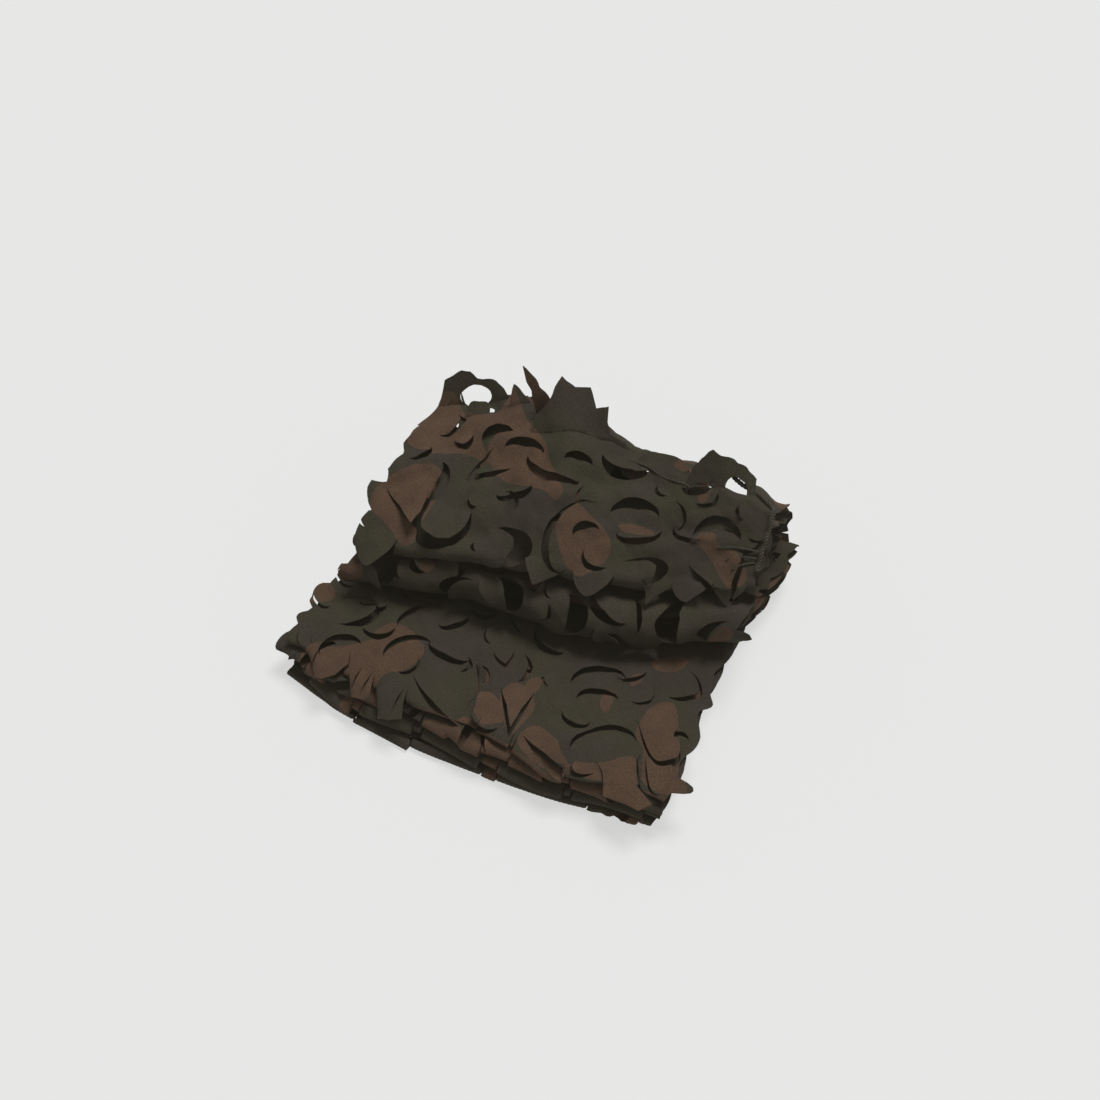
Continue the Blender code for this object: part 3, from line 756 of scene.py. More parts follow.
@dataclass
class FoldedPath:
    """The folded surface, as a grid of points over columns across the pack and stations along it."""

    columns: int = 48
    step: float = 0.0030
    puff: float = 0.045
    puff_across: float = 0.19
    puff_along: float = 0.23
    puff_phases: Pair = (0.6, 1.1)
    waist: float = 0.011
    waist_x: Pair = (0.10, 0.20)
    waist_y: tuple[float, ...] = (-0.15, -0.07, 0.06, 0.13)
    waist_z: Pair = (0.060, 0.085)
    short_of_end: float = 1e-9
    ripple: Ripple = Ripple()

    def __post_init__(self) -> None:
        """Draws every column's section, smooths it and works out the surface's directions."""
        places = np.array([row.x for row in SECTION_ROWS])
        self.xs = np.linspace(places[0], places[-1], self.columns)
        coarse, stations = self._drawn(places)
        self.grid, self.us, self.stops = self._smoothed(coarse)
        self.marks = {mark: float(self.stops[i]) for mark, i in stations.items()}
        self._frames()
        height = self.ripple.height(self.xs[:, None], self.us[None, :], self.marks)
        self.grid = self.grid + self.normals * height[..., None]
        x, y, z = np.moveaxis(self.grid, 2, 0)
        drawn_in = np.interp(y, self.waist_y, (0, 1, 1, 0)) * np.interp(z, self.waist_z, (1, 0))
        self.grid[..., 0] -= self.waist * drawn_in * np.interp(x, self.waist_x, (0, 1))
        self._frames()

    def _drawn(self, places: Array) -> tuple[Array, dict[Mark, int]]:
        """Draws the section of each column, puffed up a little here and there.

        Args:
            places: The x of each section row.

        Returns:
            The (y, z) stations of each column, and the station at each mark.
        """
        names = [part.name for part in fields(SectionRow)]
        rows = {n: smooth_curve(places, [getattr(r, n) for r in SECTION_ROWS], self.xs) for n in names}
        columns = []
        stations: dict[Mark, int] = {}
        for i, x in enumerate(self.xs):
            pen = SectionPen(SectionRow(**{n: float(rows[n][i]) for n in names}))
            pen.draw()
            points = np.array(pen.points)
            swell = np.sin(math.tau * x / self.puff_across + self.puff_phases[0])
            swell = swell * np.sin(math.tau * points[:, 0] / self.puff_along + self.puff_phases[1])
            middle = pen.cloth / 2
            points[:, 1] = middle + (points[:, 1] - middle) * (1 + self.puff * swell)
            columns.append(points)
            stations = pen.marks
        return np.array(columns), stations

    def _smoothed(self, coarse: Array) -> tuple[Array, Array, Array]:
        """Runs a smooth curve through the stations of each column.

        Args:
            coarse: The (y, z) stations of each column.

        Returns:
            The fine grid of (x, y, z) points, the fine places along it, and where the coarse stations lie.
        """
        gaps = np.linalg.norm(np.diff(coarse, axis=1), axis=2)
        chord = np.concatenate([np.zeros((len(coarse), 1)), np.cumsum(gaps, axis=1)], axis=1)
        slope = np.empty_like(coarse)
        slope[:, 1:-1] = (coarse[:, 2:] - coarse[:, :-2]) / (chord[:, 2:] - chord[:, :-2])[..., None]
        slope[:, 0] = (coarse[:, 1] - coarse[:, 0]) / gaps[:, :1]
        slope[:, -1] = (coarse[:, -1] - coarse[:, -2]) / gaps[:, -1:]
        middle = chord[np.argmin(abs(self.xs))]
        fine = []
        places = []
        for i in range(coarse.shape[1] - 1):
            count = max(1, math.ceil((middle[i + 1] - middle[i]) / self.step))
            for t in np.arange(count) / count:
                span = gaps[:, i][:, None]
                rise = coarse[:, i + 1] - coarse[:, i]
                start = slope[:, i] * span
                end = slope[:, i + 1] * span
                bend = t * t * (3 * rise - 2 * start - end) + t**3 * (start + end - 2 * rise)
                fine.append(coarse[:, i] + t * start + bend)
                places.append(middle[i] + t * (middle[i + 1] - middle[i]))
        fine.append(coarse[:, -1])
        places.append(middle[-1])
        flat = np.stack(fine, axis=1)
        across = np.broadcast_to(self.xs[:, None, None], flat.shape[:2] + (1,))
        return np.concatenate([across, flat], axis=2), np.array(places), middle

    def _frames(self) -> None:
        """Works out the normals, the two directions and the stretch of the surface at every grid point."""
        ahead = np.gradient(self.grid, self.us, axis=1)
        aside = np.gradient(self.grid, self.xs, axis=0)
        self.stretch = np.linalg.norm(ahead, axis=2, keepdims=True)
        self.ahead = ahead / self.stretch
        normals = np.cross(aside, self.ahead)
        self.normals = normals / np.linalg.norm(normals, axis=2, keepdims=True)
        self.aside = np.cross(self.ahead, self.normals)

    def read(self, grid: Array, x: Array, u: Array) -> Array:
        """Reads a grid at places of the sheet, straight between its points.

        Args:
            grid: A value for each column and station.
            x: Places across the sheet.
            u: Places along it.

        Returns:
            The values there.
        """
        c = np.clip((x - self.xs[0]) / (self.xs[1] - self.xs[0]), 0, len(self.xs) - 1 - self.short_of_end)
        i = c.astype(int)
        s = np.clip(np.searchsorted(self.us, u, side="right") - 1, 0, len(self.us) - 2)
        t = np.clip((u - self.us[s]) / (self.us[s + 1] - self.us[s]), 0, 1)[:, None]
        c = (c - i)[:, None]
        low = grid[i, s] * (1 - t) + grid[i, s + 1] * t
        high = grid[i + 1, s] * (1 - t) + grid[i + 1, s + 1] * t
        return low * (1 - c) + high * c

    def place(self, x: Array, u: Array) -> Array:
        """Finds points of the folded surface, which goes on straight past its side columns.

        Args:
            x: Places across the sheet.
            u: Places along it.

        Returns:
            The (x, y, z) points.
        """
        points = self.read(self.grid, x, u)
        points[:, 0] += x - np.clip(x, self.xs[0], self.xs[-1])
        return points

    def frame(self, x: Array, u: Array) -> tuple[Array, Array, Array]:
        """The normals, and the directions along and across the sheet, at places of the sheet."""
        return tuple(self.read(grid, x, u) for grid in (self.normals, self.ahead, self.aside))

    def at(self, mark: Mark, along: float) -> float:
        """The place along the sheet that lies so far past a mark."""
        return self.marks[mark] + along


# ---------------------------------------------------------------------------------------------------------
# Leaves, lobes and the print


@dataclass(frozen=True)
class LeafCut:
    """A crescent gap and the leaf that it frees.

    The middle of its root lies at `along` past a mark and at x, and its leaf points to `heading`. Headings
    are in degrees: 0 points along the path, 90 to the right. `point` is 0 for a round leaf, 1 for a pointed
    one and -1 for a square one. `lift` is the angle at which the leaf leaves the surface, `curl` the
    further turn up to its tip, and `twist` how much more its right side lifts than its left. `shift` moves
    the leaf sideways in its gap. `neck` narrows its root, in degrees of the round that are added at each
    side. `window` is a hole in the leaf: its middle across and forward, its width and its length. `steps`
    are the corners of a ragged leaf, in shares of its width and length. `centre` is the place, in shares of
    its length, that the leaf's edge is drawn in to all round.
    """

    mark: Mark
    along: float
    x: float
    width: float
    length: float
    heading: float
    gap: float
    point: float
    lift: float
    curl: float
    twist: float = 0.0
    shift: float = 0.0
    neck: float = 8.0
    window: tuple[float, ...] = ()
    steps: tuple[Pair, ...] = ()
    centre: float = 0.45


HERO_CUTS = (
    LeafCut(Mark.BROW, 0.137, -0.158, 0.036, 0.018, 95, 0.007, 0.0, 2, 0),
    LeafCut(Mark.BROW, 0.125, -0.088, 0.034, 0.026, -57, 0.013, 0.0, -10, -10),
    LeafCut(Mark.BROW, 0.123, -0.060, 0.040, 0.013, -10, 0.010, 0.0, -10, -20),
    LeafCut(Mark.BROW, 0.112, -0.078, 0.034, 0.044, -143, 0.010, 0.4, 10, 10, neck=0),
    LeafCut(Mark.BROW, 0.083, -0.050, 0.036, 0.013, 153, 0.008, 0.0, 14, 10),
    LeafCut(Mark.BROW, 0.073, -0.132, 0.046, 0.014, 83, 0.011, 0.0, 14, 20),
    LeafCut(Mark.BROW, 0.070, -0.154, 0.050, 0.064, 152, 0.005, 0.7, 15, -4, shift=-0.002, neck=0),
    LeafCut(Mark.BROW, 0.052, -0.101, 0.052, 0.054, 180, 0.009, 0.0, 10, 4, neck=40),
    LeafCut(Mark.BROW, 0.020, -0.050, 0.050, 0.045, 90, 0.011, 0.0, 12, 22, neck=24),
    LeafCut(Mark.BROW, 0.071, -0.050, 0.028, 0.009, 42, 0.004, 0.0, 14, 10),
    LeafCut(Mark.BROW, 0.010, 0.062, 0.040, 0.030, 176, 0.004, 0.2, 5, -6, neck=0),
    LeafCut(Mark.BROW, 0.008, 0.122, 0.030, 0.028, 190, 0.004, 0.9, 6, -4, neck=0),
    LeafCut(Mark.BROW, 0.012, -0.160, 0.042, 0.034, 168, 0.004, 0.1, 6, -8, neck=0),
    LeafCut(Mark.BROW, 0.006, 0.188, 0.030, 0.026, 176, 0.004, 0.4, 6, -4, neck=0),
    LeafCut(Mark.BROW, 0.114, -0.022, 0.064, 0.018, -171, 0.010, 0.3, 12, 10),
    LeafCut(Mark.BROW, 0.129, -0.001, 0.028, 0.010, -20, 0.009, 0.0, -8, -10),
    LeafCut(Mark.BROW, 0.046, 0.036, 0.080, 0.036, -89, 0.008, 0.0, 8, 8, shift=-0.003),
    LeafCut(Mark.BROW, 0.052, 0.039, 0.026, 0.013, -34, 0.009, 0.0, 8, 20),
    LeafCut(Mark.BROW, 0.092, 0.074, 0.047, 0.018, -14, 0.010, 0.0, -9, -15),
    LeafCut(Mark.BROW, 0.073, 0.085, 0.042, 0.014, 157, 0.004, 0.0, 20, 10),
    LeafCut(Mark.BROW, 0.014, 0.096, 0.042, 0.036, 45, 0.010, 0.0, 12, 20, neck=20),
    LeafCut(Mark.BROW, 0.085, 0.158, 0.046, 0.026, -6, 0.015, 0.0, -9, -12),
    LeafCut(Mark.BROW, 0.057, 0.165, 0.050, 0.060, 151, 0.006, 0.7, 15, 4, neck=0),
    LeafCut(Mark.BROW, 0.085, 0.130, 0.033, 0.010, -157, 0.004, 0.0, 15, 10),
    LeafCut(Mark.BROW, 0.154, 0.040, 0.050, 0.020, 174, 0.011, 0.0, 8, 6),
    LeafCut(Mark.BROW, 0.153, 0.118, 0.030, 0.012, 148, 0.009, 0.0, 8, 6),
    LeafCut(Mark.BROW, 0.012, 0.014, 0.042, 0.032, -172, 0.005, 0.5, 5, -4, neck=0),
    LeafCut(Mark.BROW, 0.012, 0.154, 0.038, 0.030, 175, 0.005, 0.2, 5, -4, neck=0),
    LeafCut(Mark.BROW, 0.098, 0.030, 0.036, 0.018, -60, 0.004, 0.1, 12, 10),
    LeafCut(Mark.BROW, 0.104, 0.108, 0.034, 0.014, 60, 0.003, 0.0, 12, 10),
    LeafCut(Mark.ROLL, 0.036, -0.126, 0.030, 0.024, -90, 0.015, 0.0, -8, -10),
    LeafCut(Mark.ROLL, 0.026, -0.084, 0.034, 0.026, 30, 0.009, 0.2, 14, 10),
    LeafCut(Mark.ROLL, 0.011, -0.022, 0.044, 0.026, 64, 0.019, 0.0, 6, 20),
    LeafCut(Mark.ROLL, 0.012, 0.046, 0.046, 0.026, 85, 0.020, 0.0, 6, 20),
    LeafCut(Mark.ROLL, 0.029, 0.088, 0.048, 0.013, -151, 0.007, 0.0, 14, 20),
    LeafCut(Mark.ROLL, 0.021, 0.110, 0.041, 0.012, 68, 0.003, 0.0, 16, 20),
    LeafCut(Mark.ROLL, 0.020, 0.174, 0.056, 0.040, -80, 0.016, 0.0, 10, 20),
    LeafCut(Mark.ROLL, -0.002, -0.060, 0.040, 0.026, -70, 0.010, 0.1, 10, 20),
    LeafCut(Mark.ROLL, 0.002, -0.164, 0.040, 0.034, 60, 0.009, 0.0, 12, 20, neck=20),
    LeafCut(Mark.ROLL, 0.006, 0.196, 0.030, 0.020, -75, 0.010, 0.0, 12, 30),
    LeafCut(Mark.ROLL, -0.012, 0.128, 0.036, 0.018, 170, 0.006, 0.0, 12, 10),
    LeafCut(Mark.FLAT_TOP, 0.056, -0.175, 0.037, 0.042, 62, 0.004, 0.0, 6, 8, neck=15),
    LeafCut(Mark.FLAT_TOP, 0.091, -0.098, 0.048, 0.014, -59, 0.005, 0.0, -10, -5),
    LeafCut(Mark.FLAT_TOP, 0.105, -0.064, 0.032, 0.010, 133, 0.004, 0.0, 14, 10),
    LeafCut(Mark.FLAT_TOP, 0.122, -0.110, 0.052, 0.014, 175, 0.0046, 0.0, 10, 8),
    LeafCut(Mark.FLAT_TOP, 0.084, -0.150, 0.030, 0.010, 160, 0.003, 0.0, 10, 8),
    LeafCut(Mark.FLAT_TOP, 0.013, -0.147, 0.046, 0.018, -49, 0.0058, 0.0, -9, -10),
    LeafCut(Mark.FLAT_TOP, 0.047, -0.085, 0.051, 0.020, -51, 0.0035, 0.0, -10, -8),
    LeafCut(Mark.FLAT_TOP, 0.070, -0.048, 0.048, 0.014, 180, 0.0041, 0.0, 14, 10),
    LeafCut(Mark.FLAT_TOP, 0.061, -0.028, 0.020, 0.010, 86, 0.004, 0.3, 14, 10),
    LeafCut(Mark.FLAT_TOP, 0.059, -0.009, 0.023, 0.010, 46, 0.004, 0.0, 16, 10),
    LeafCut(Mark.FLAT_TOP, 0.084, 0.022, 0.038, 0.014, 65, 0.004, 0.3, 16, 10),
    LeafCut(Mark.FLAT_TOP, 0.024, 0.028, 0.048, 0.030, -123, 0.004, 0.0, 8, 10, neck=30),
    LeafCut(Mark.FLAT_TOP, 0.058, 0.034, 0.033, 0.059, 161, 0.004, 0.8, 8, 0, neck=0),
    LeafCut(Mark.FLAT_TOP, 0.026, 0.074, 0.034, 0.056, 124, 0.003, 0.7, 8, -14, neck=0),
    LeafCut(Mark.FLAT_TOP, 0.104, 0.103, 0.057, 0.020, -32, 0.0041, 0.0, -10, -6),
    LeafCut(Mark.FLAT_TOP, 0.084, 0.111, 0.042, 0.015, -21, 0.0041, 0.0, -12, -6),
    LeafCut(Mark.FLAT_TOP, 0.036, 0.139, 0.061, 0.026, -29, 0.0046, 0.0, -8, -6),
    LeafCut(Mark.FLAT_TOP, 0.030, 0.156, 0.040, 0.066, 154, 0.003, 0.0, 7, -26, neck=0, steps=(
        (0.40, 0.20), (0.42, 0.62), (-0.40, 1.0), (-0.66, 0.90), (-0.42, 0.60), (-0.40, 0.10))),
    LeafCut(Mark.FLAT_TOP, 0.068, 0.205, 0.016, 0.010, -24, 0.0041, 0.0, -4, -8),
    LeafCut(Mark.FLAT_TOP, 0.047, -0.042, 0.064, 0.076, 137, 0.005, 0.35, 5, -16, neck=0),
    LeafCut(Mark.FLAT_TOP, 0.086, 0.172, 0.036, 0.060, 150, 0.004, -0.6, 7, -8, neck=0),
    LeafCut(Mark.FLAT_TOP, 0.042, 0.190, 0.024, 0.046, 158, 0.004, -0.5, 4, -20, neck=0),
    LeafCut(Mark.FLAT_TOP, 0.006, -0.160, 0.050, 0.038, 150, 0.003, 0.0, 5, -26, neck=0, steps=(
        (0.50, 0.50), (0.42, 0.86), (0.10, 1.0), (-0.20, 0.84), (-0.50, 0.46))),
    LeafCut(Mark.FLAT_TOP, 0.003, -0.114, 0.027, 0.032, 158, 0.003, 0.0, 4, -34, neck=0, steps=(
        (0.48, 0.45), (0.52, 0.92), (0.02, 1.0), (-0.48, 1.0), (-0.50, 0.45))),
    LeafCut(Mark.FLAT_TOP, 0.004, -0.078, 0.033, 0.038, 160, 0.003, 0.0, 4, -36, neck=0, steps=(
        (0.50, 0.45), (0.46, 0.94), (0.02, 1.02), (-0.50, 0.96), (-0.48, 0.45))),
    LeafCut(Mark.FLAT_TOP, 0.132, 0.180, 0.038, 0.030, 100, 0.005, 0.2, 8, 8),
    LeafCut(Mark.FLAT_TOP, 0.128, 0.036, 0.040, 0.016, -160, 0.005, 0.2, 12, 8),
    LeafCut(Mark.FLAT_TOP, 0.060, 0.100, 0.030, 0.012, 175, 0.003, 0.0, 12, 6),
    LeafCut(Mark.FLAT_TOP, 0.128, 0.130, 0.030, 0.010, 150, 0.003, 0.0, 12, 6),
    LeafCut(Mark.FLAT_TOP, 0.060, -0.128, 0.034, 0.016, 150, 0.003, 0.2, 10, 6),
    LeafCut(Mark.CREST, -0.006, -0.146, 0.074, 0.040, -20, 0.004, 0.0, 48, 6, neck=0, steps=(
        (0.47, 0.30), (0.40, 0.58), (0.18, 0.72), (0.03, 0.82), (-0.11, 1.0), (-0.25, 0.98), (-0.38, 0.76),
        (-0.43, 0.70), (-0.47, 0.30)), window=(0.001, 0.009, 0.034, 0.024)),
    LeafCut(Mark.BROW, 0.150, -0.132, 0.026, 0.020, -10, 0.005, -0.7, 40, 20),
    LeafCut(Mark.CREST, -0.004, -0.062, 0.020, 0.062, -46, 0.003, 1.0, 68, 6, neck=0),
    LeafCut(Mark.CREST, -0.006, -0.090, 0.022, 0.025, -36, 0.003, 0.6, 40, 10, neck=0),
    LeafCut(Mark.CREST, -0.012, -0.012, 0.108, 0.060, -26, 0.004, 0.0, 42, 8, neck=0, steps=(
        (0.42, 0.08), (0.27, 0.14), (0.22, 0.34), (0.20, 0.62), (0.08, 0.56), (0.00, 0.90), (-0.09, 0.84),
        (-0.16, 1.03), (-0.26, 0.68), (-0.33, 0.52), (-0.46, 0.34)), centre=-0.35),
    LeafCut(Mark.CREST, -0.004, 0.075, 0.056, 0.020, 0, 0.006, 0.0, 24, 10),
    LeafCut(Mark.CREST, -0.008, 0.141, 0.074, 0.040, -24, 0.004, 0.0, 46, 8, neck=0, steps=(
        (0.48, 0.48), (0.37, 0.70), (0.14, 0.86), (-0.03, 0.90), (-0.12, 1.0), (-0.27, 0.78), (-0.40, 0.46)),
        window=(0.017, 0.002, 0.024, 0.028)),
    LeafCut(Mark.CREST, 0.088, -0.158, 0.056, 0.082, 180, 0.012, 0.0, -60, -30),
    LeafCut(Mark.CREST, 0.088, 0.142, 0.056, 0.078, 180, 0.012, 0.0, -60, -30),
)


@dataclass(eq=False)
class PlacedLeaf:
    """A leaf cut laid out in the flat sheet."""

    path: FoldedPath
    cut: LeafCut
    sample_step: float = 0.0014
    rough_step: float = 0.0036
    least_points: int = 8
    squareness: float = 0.7
    centre_draw: float = 1.2
    rim_share: float = 1.5
    full_sink: float = 0.5
    rise_over_sunk: float = -0.6
    bends: int = 8

    def __post_init__(self) -> None:
        """Finds the root in the sheet and how far the path is stretched there."""
        cut = self.cut
        self.u = self.path.at(cut.mark, cut.along)
        self.stretch = float(self.path.read(self.path.stretch, np.array([cut.x]), np.array([self.u]))[0, 0])
        self.sine = math.sin(math.radians(cut.heading))
        self.cosine = math.cos(math.radians(cut.heading))
        self.size = max(cut.width, cut.length) / 2
        self.centre = self.flat(np.zeros(1), np.full(1, cut.length / 2))
        self.ring = np.stack(self.flat(*self.outline(self.shares(self.rough_step), 0.0)), axis=1)

    def shares(self, step: float) -> Array:
        """Finds places round the leaf's edge, with every corner of a ragged leaf among them.

        Args:
            step: About how far apart they lie.

        Returns:
            The places, as shares of the way round.
        """
        sides = len(self.cut.steps) + 1 if self.cut.steps else 2
        count = max(self.least_points, 2 * round((self.cut.width / 2 + self.cut.length) / step))
        return np.linspace(0, 1, sides * math.ceil(count / sides) + 1)

    def flat(self, across: Array, forward: Array) -> tuple[Array, Array]:
        """Finds where points of the leaf lie in the sheet.

        Args:
            across: How far the points lie across the leaf from the root's middle.
            forward: How far they lie towards its tip.

        Returns:
            Their x and u.
        """
        along = forward * self.cosine - across * self.sine
        return self.cut.x + forward * self.sine + across * self.cosine, self.u + along / self.stretch

    def local(self, x: Array, u: Array) -> tuple[Array, Array]:
        """Finds where places of the sheet lie on the leaf.

        Args:
            x: Places across the sheet.
            u: Places along it.

        Returns:
            How far they lie across and forward from the root's middle.
        """
        along = (u - self.u) * self.stretch
        aside = x - self.cut.x
        return aside * self.cosine - along * self.sine, aside * self.sine + along * self.cosine

    def outline(self, share: Array, inset: float) -> tuple[Array, Array]:
        """Draws the gap's outer edge, or the leaf's edge with the gap's width as the inset.

        Args:
            share: Places round the edge, from 0 at one end of the root to 1 at the other.
            inset: How far the edge is drawn in.

        Returns:
            How far the edge lies across and forward from the root's middle.
        """
        cut = self.cut
        neck = math.radians(cut.neck)
        turn = share * (math.pi + 2 * neck) - neck
        cosine = np.cos(turn)
        sine = (np.sin(turn) + math.sin(neck)) / (1 + math.sin(neck))
        point = max(cut.point, 0.0)
        power = 1 - self.squareness * max(-cut.point, 0.0)
        if cut.steps:
            corners = np.array(((0.5, 0.0),) + cut.steps + ((-0.5, 0.0),))
            places = np.linspace(0, 1, len(corners))
            across = cut.width * np.interp(share, places, corners[:, 0])
            forward = cut.length * np.interp(share, places, corners[:, 1])
        else:
            across = cut.width / 2 * np.sign(cosine) * abs(cosine) ** power
            peak = 1 - abs(cosine) / math.cos(neck)
            forward = cut.length * ((1 - point) * sine**power + point * np.maximum(peak, 0))
        if not inset:
            return across, forward
        middle = cut.centre * cut.length - self.centre_draw * cut.gap
        fade = np.sin(math.pi * share)
        kept = 1 - inset * fade / np.hypot(across, forward - middle)
        return across * kept + cut.shift * fade, middle + (forward - middle) * kept

    def loop(self, step: float) -> Array:
        """Draws the crescent in the sheet.

        Args:
            step: About how far apart its points lie.

        Returns:
            The (x, u) points, round its outer edge and back along the leaf.
        """
        share = self.shares(step)
        outer = np.stack(self.flat(*self.outline(share, 0.0)), axis=1)
        inner = np.stack(self.flat(*self.outline(share[::-1], self.cut.gap)), axis=1)
        return np.concatenate([outer, inner[1:-1]])

    def rim(self, step: float) -> Array:
        """Draws the leaf inside the crescent, closed along its root.

        Args:
            step: About how far apart its points lie.

        Returns:
            The (x, u) points.
        """
        loop = self.loop(step)
        outer = len(loop) // 2 + 1
        return np.concatenate([loop[outer - 1:], loop[:1]])[::-1]

    def window(self, step: float) -> Array:
        """Draws the rim of the hole in the leaf.

        Args:
            step: About how far apart its points lie.

        Returns:
            The (x, u) points.
        """
        across, forward, width, length = self.cut.window
        count = max(self.least_points, round(self.rim_share * (width + length) / step))
        turn = np.arange(count) / count * math.tau
        aside = across + width / 2 * np.cos(turn)
        return np.stack(self.flat(aside, forward + length / 2 * np.sin(turn)), axis=1)

    def holds(self, x: Array, u: Array) -> Array:
        """Tells which places of the sheet lie on the leaf.

        Args:
            x: Places across the sheet.
            u: Places along it.

        Returns:
            True for each place that does.
        """
        edge = np.stack(self.outline(self.shares(self.sample_step), self.cut.gap / 2), axis=1)
        across, forward = self.local(x, u)
        return inside(edge, np.stack([across, forward], axis=1)) & (forward > 0)

    def sunk(self, x: Array, u: Array, reach: float) -> Array:
        """Finds how much the cloth round the gap sinks, or below 0 rises over a sunk leaf.

        Args:
            x: Places across the sheet.
            u: Places along it.
            reach: How far from the gap the cloth is moved.

        Returns:
            The share of a full sink at each place.
        """
        edge = np.stack(self.outline(self.shares(self.rough_step), 0.0), axis=1)
        across, forward = self.local(x, u)
        outside = np.maximum(-depth_inside(edge, np.stack([across, forward], axis=1)), 0.0)
        ahead = np.clip(forward / (self.full_sink * self.cut.length), 0, 1)
        return np.exp(-((outside / reach) ** 2)) * ahead * (1.0 if self.cut.lift > 0 else self.rise_over_sunk)

    def raised(self, x: Array, u: Array, height: float) -> Array:
        """Turns the leaf up about its root.

        Args:
            x: Places of the leaf across the sheet.
            u: Places of the leaf along it.
            height: How far off the sheet's middle the points lie.

        Returns:
            The (x, y, z) points.
        """
        cut = self.cut
        across, forward = self.local(x, u)
        root_x, root_u = self.flat(across, np.zeros_like(across))
        root = self.path.place(root_x, root_u)
        normal, ahead, aside = self.path.frame(root_x, root_u)
        heading = ahead * self.cosine + aside * self.sine
        lift = cut.lift + cut.twist * across / cut.width
        onward = np.zeros_like(across)
        up = np.zeros_like(across)
        angle = np.radians(lift)
        for i in range(self.bends):
            angle = np.radians(lift + cut.curl * (i + 0.5) / self.bends * forward / cut.length)
            onward += np.cos(angle) * forward / self.bends
            up += np.sin(angle) * forward / self.bends
        face = normal * np.cos(angle)[:, None] - heading * np.sin(angle)[:, None]
        return root + heading * onward[:, None] + normal * up[:, None] + face * height


def inside(outline: Array, points: Array) -> Array:
    """Tells which points lie inside a closed outline.

    Args:
        outline: The outline's corners.
        points: The points.

    Returns:
        True for each point that does.
    """
    found = np.zeros(len(points), bool)
    for (ax, ay), (bx, by) in zip(outline, np.roll(outline, -1, axis=0)):
        if ay == by:
            continue
        crosses = (points[:, 1] < ay) != (points[:, 1] < by)
        found ^= crosses & (points[:, 0] < (bx - ax) * (points[:, 1] - ay) / (by - ay) + ax)
    return found


def depth_inside(outline: Array, points: Array) -> Array:
    """Finds how deep points lie inside a closed outline.

    Args:
        outline: The outline's corners.
        points: The points.

    Returns:
        The depth of each point, which is below zero outside the outline.
    """
    nearest = np.full(len(points), np.inf)
    for a, b in zip(outline, np.roll(outline, -1, axis=0)):
        side = b - a
        t = np.clip((points - a) @ side / (side @ side), 0, 1)[:, None]
        nearest = np.minimum(nearest, np.linalg.norm(points - a - t * side, axis=1))
    return np.where(inside(outline, points), nearest, -nearest)


def rounded(corners: Array, near: float = 0.78, far: float = 0.22, rounds: int = 2) -> Array:
    """Cuts the corners off a closed outline.

    Args:
        corners: The outline's corners.
        near: The share of a corner in each new one beside it.
        far: The share of the next corner in that new one.
        rounds: How many times the corners are cut.

    Returns:
        The new corners.
    """
    for _ in range(rounds):
        after = np.roll(corners, -1, axis=0)
        pair = np.stack([near * corners + far * after, far * corners + near * after], axis=1)
        corners = pair.reshape(-1, 2)
    return corners


@dataclass(frozen=True)
class FoldBlock:
    """A stretch of a front fold that is slit free at both ends and stands out or hangs lower."""

    mark: Mark
    left: float
    right: float
    out: float
    down: float
    reach: float = 0.016
    left_share: float = 0.7
    slant: float = 0.6

    def moved(self, x: Array, u: Array, path: FoldedPath) -> Array:
        """Finds how far places of the sheet are moved.

        Args:
            x: Places across the sheet.
            u: Places along it.
            path: The folded path.

        Returns:
            The (x, y, z) move of each place.
        """
        share = np.clip(abs(u - path.marks[self.mark]) / self.reach, 0, 1)
        weight = np.cos(share * math.pi / 2) ** 2 * ((x > self.left) & (x < self.right))
        slope = self.left_share + self.slant * (x - self.left) / (self.right - self.left)
        return (weight * slope)[:, None] * np.array((0.0, -self.out, -self.down))

    def slits(self, path: FoldedPath, width: float) -> list[Array]:
        """Draws the slits at the block's two ends.

        Args:
            path: The folded path.
            width: How wide a slit is at its middle.

        Returns:
            The (x, u) corners of each slit.
        """
        middle = path.marks[self.mark]
        low = middle - self.reach
        high = middle + self.reach
        side = width / 2
        ends = (self.left, self.right)
        return [np.array([(x, low), (x + side, middle), (x, high), (x - side, middle)]) for x in ends]


FOLD_BLOCKS = (
    FoldBlock(Mark.FRONT_3, -0.166, -0.116, 0.003, 0.004),
    FoldBlock(Mark.FRONT_3, -0.104, -0.066, 0.002, 0.004),
    FoldBlock(Mark.FRONT_3, 0.020, 0.056, 0.002, 0.002),
    FoldBlock(Mark.FRONT_3, 0.060, 0.118, 0.005, 0.003),
    FoldBlock(Mark.FRONT_2, -0.174, -0.118, 0.004, 0.004),
    FoldBlock(Mark.FRONT_2, -0.110, -0.062, 0.006, 0.006),
    FoldBlock(Mark.FRONT_2, -0.038, 0.030, 0.003, 0.003),
    FoldBlock(Mark.FRONT_2, 0.060, 0.100, 0.004, 0.003),
    FoldBlock(Mark.FRONT_2, 0.122, 0.180, 0.004, 0.004),
    FoldBlock(Mark.FRONT_1, -0.170, -0.114, 0.005, 0.005),
    FoldBlock(Mark.FRONT_1, -0.104, -0.046, 0.003, 0.002),
    FoldBlock(Mark.FRONT_1, -0.036, 0.031, 0.005, 0.004),
    FoldBlock(Mark.FRONT_1, 0.050, 0.118, 0.002, 0.003),
    FoldBlock(Mark.FRONT_1, 0.126, 0.196, 0.004, 0.004),
    FoldBlock(Mark.FRONT_0, -0.110, -0.044, 0.004, 0.001),
    FoldBlock(Mark.FRONT_0, 0.034, 0.050, 0.001, 0.001),
    FoldBlock(Mark.FRONT_0, 0.142, 0.192, 0.002, 0.001),
)


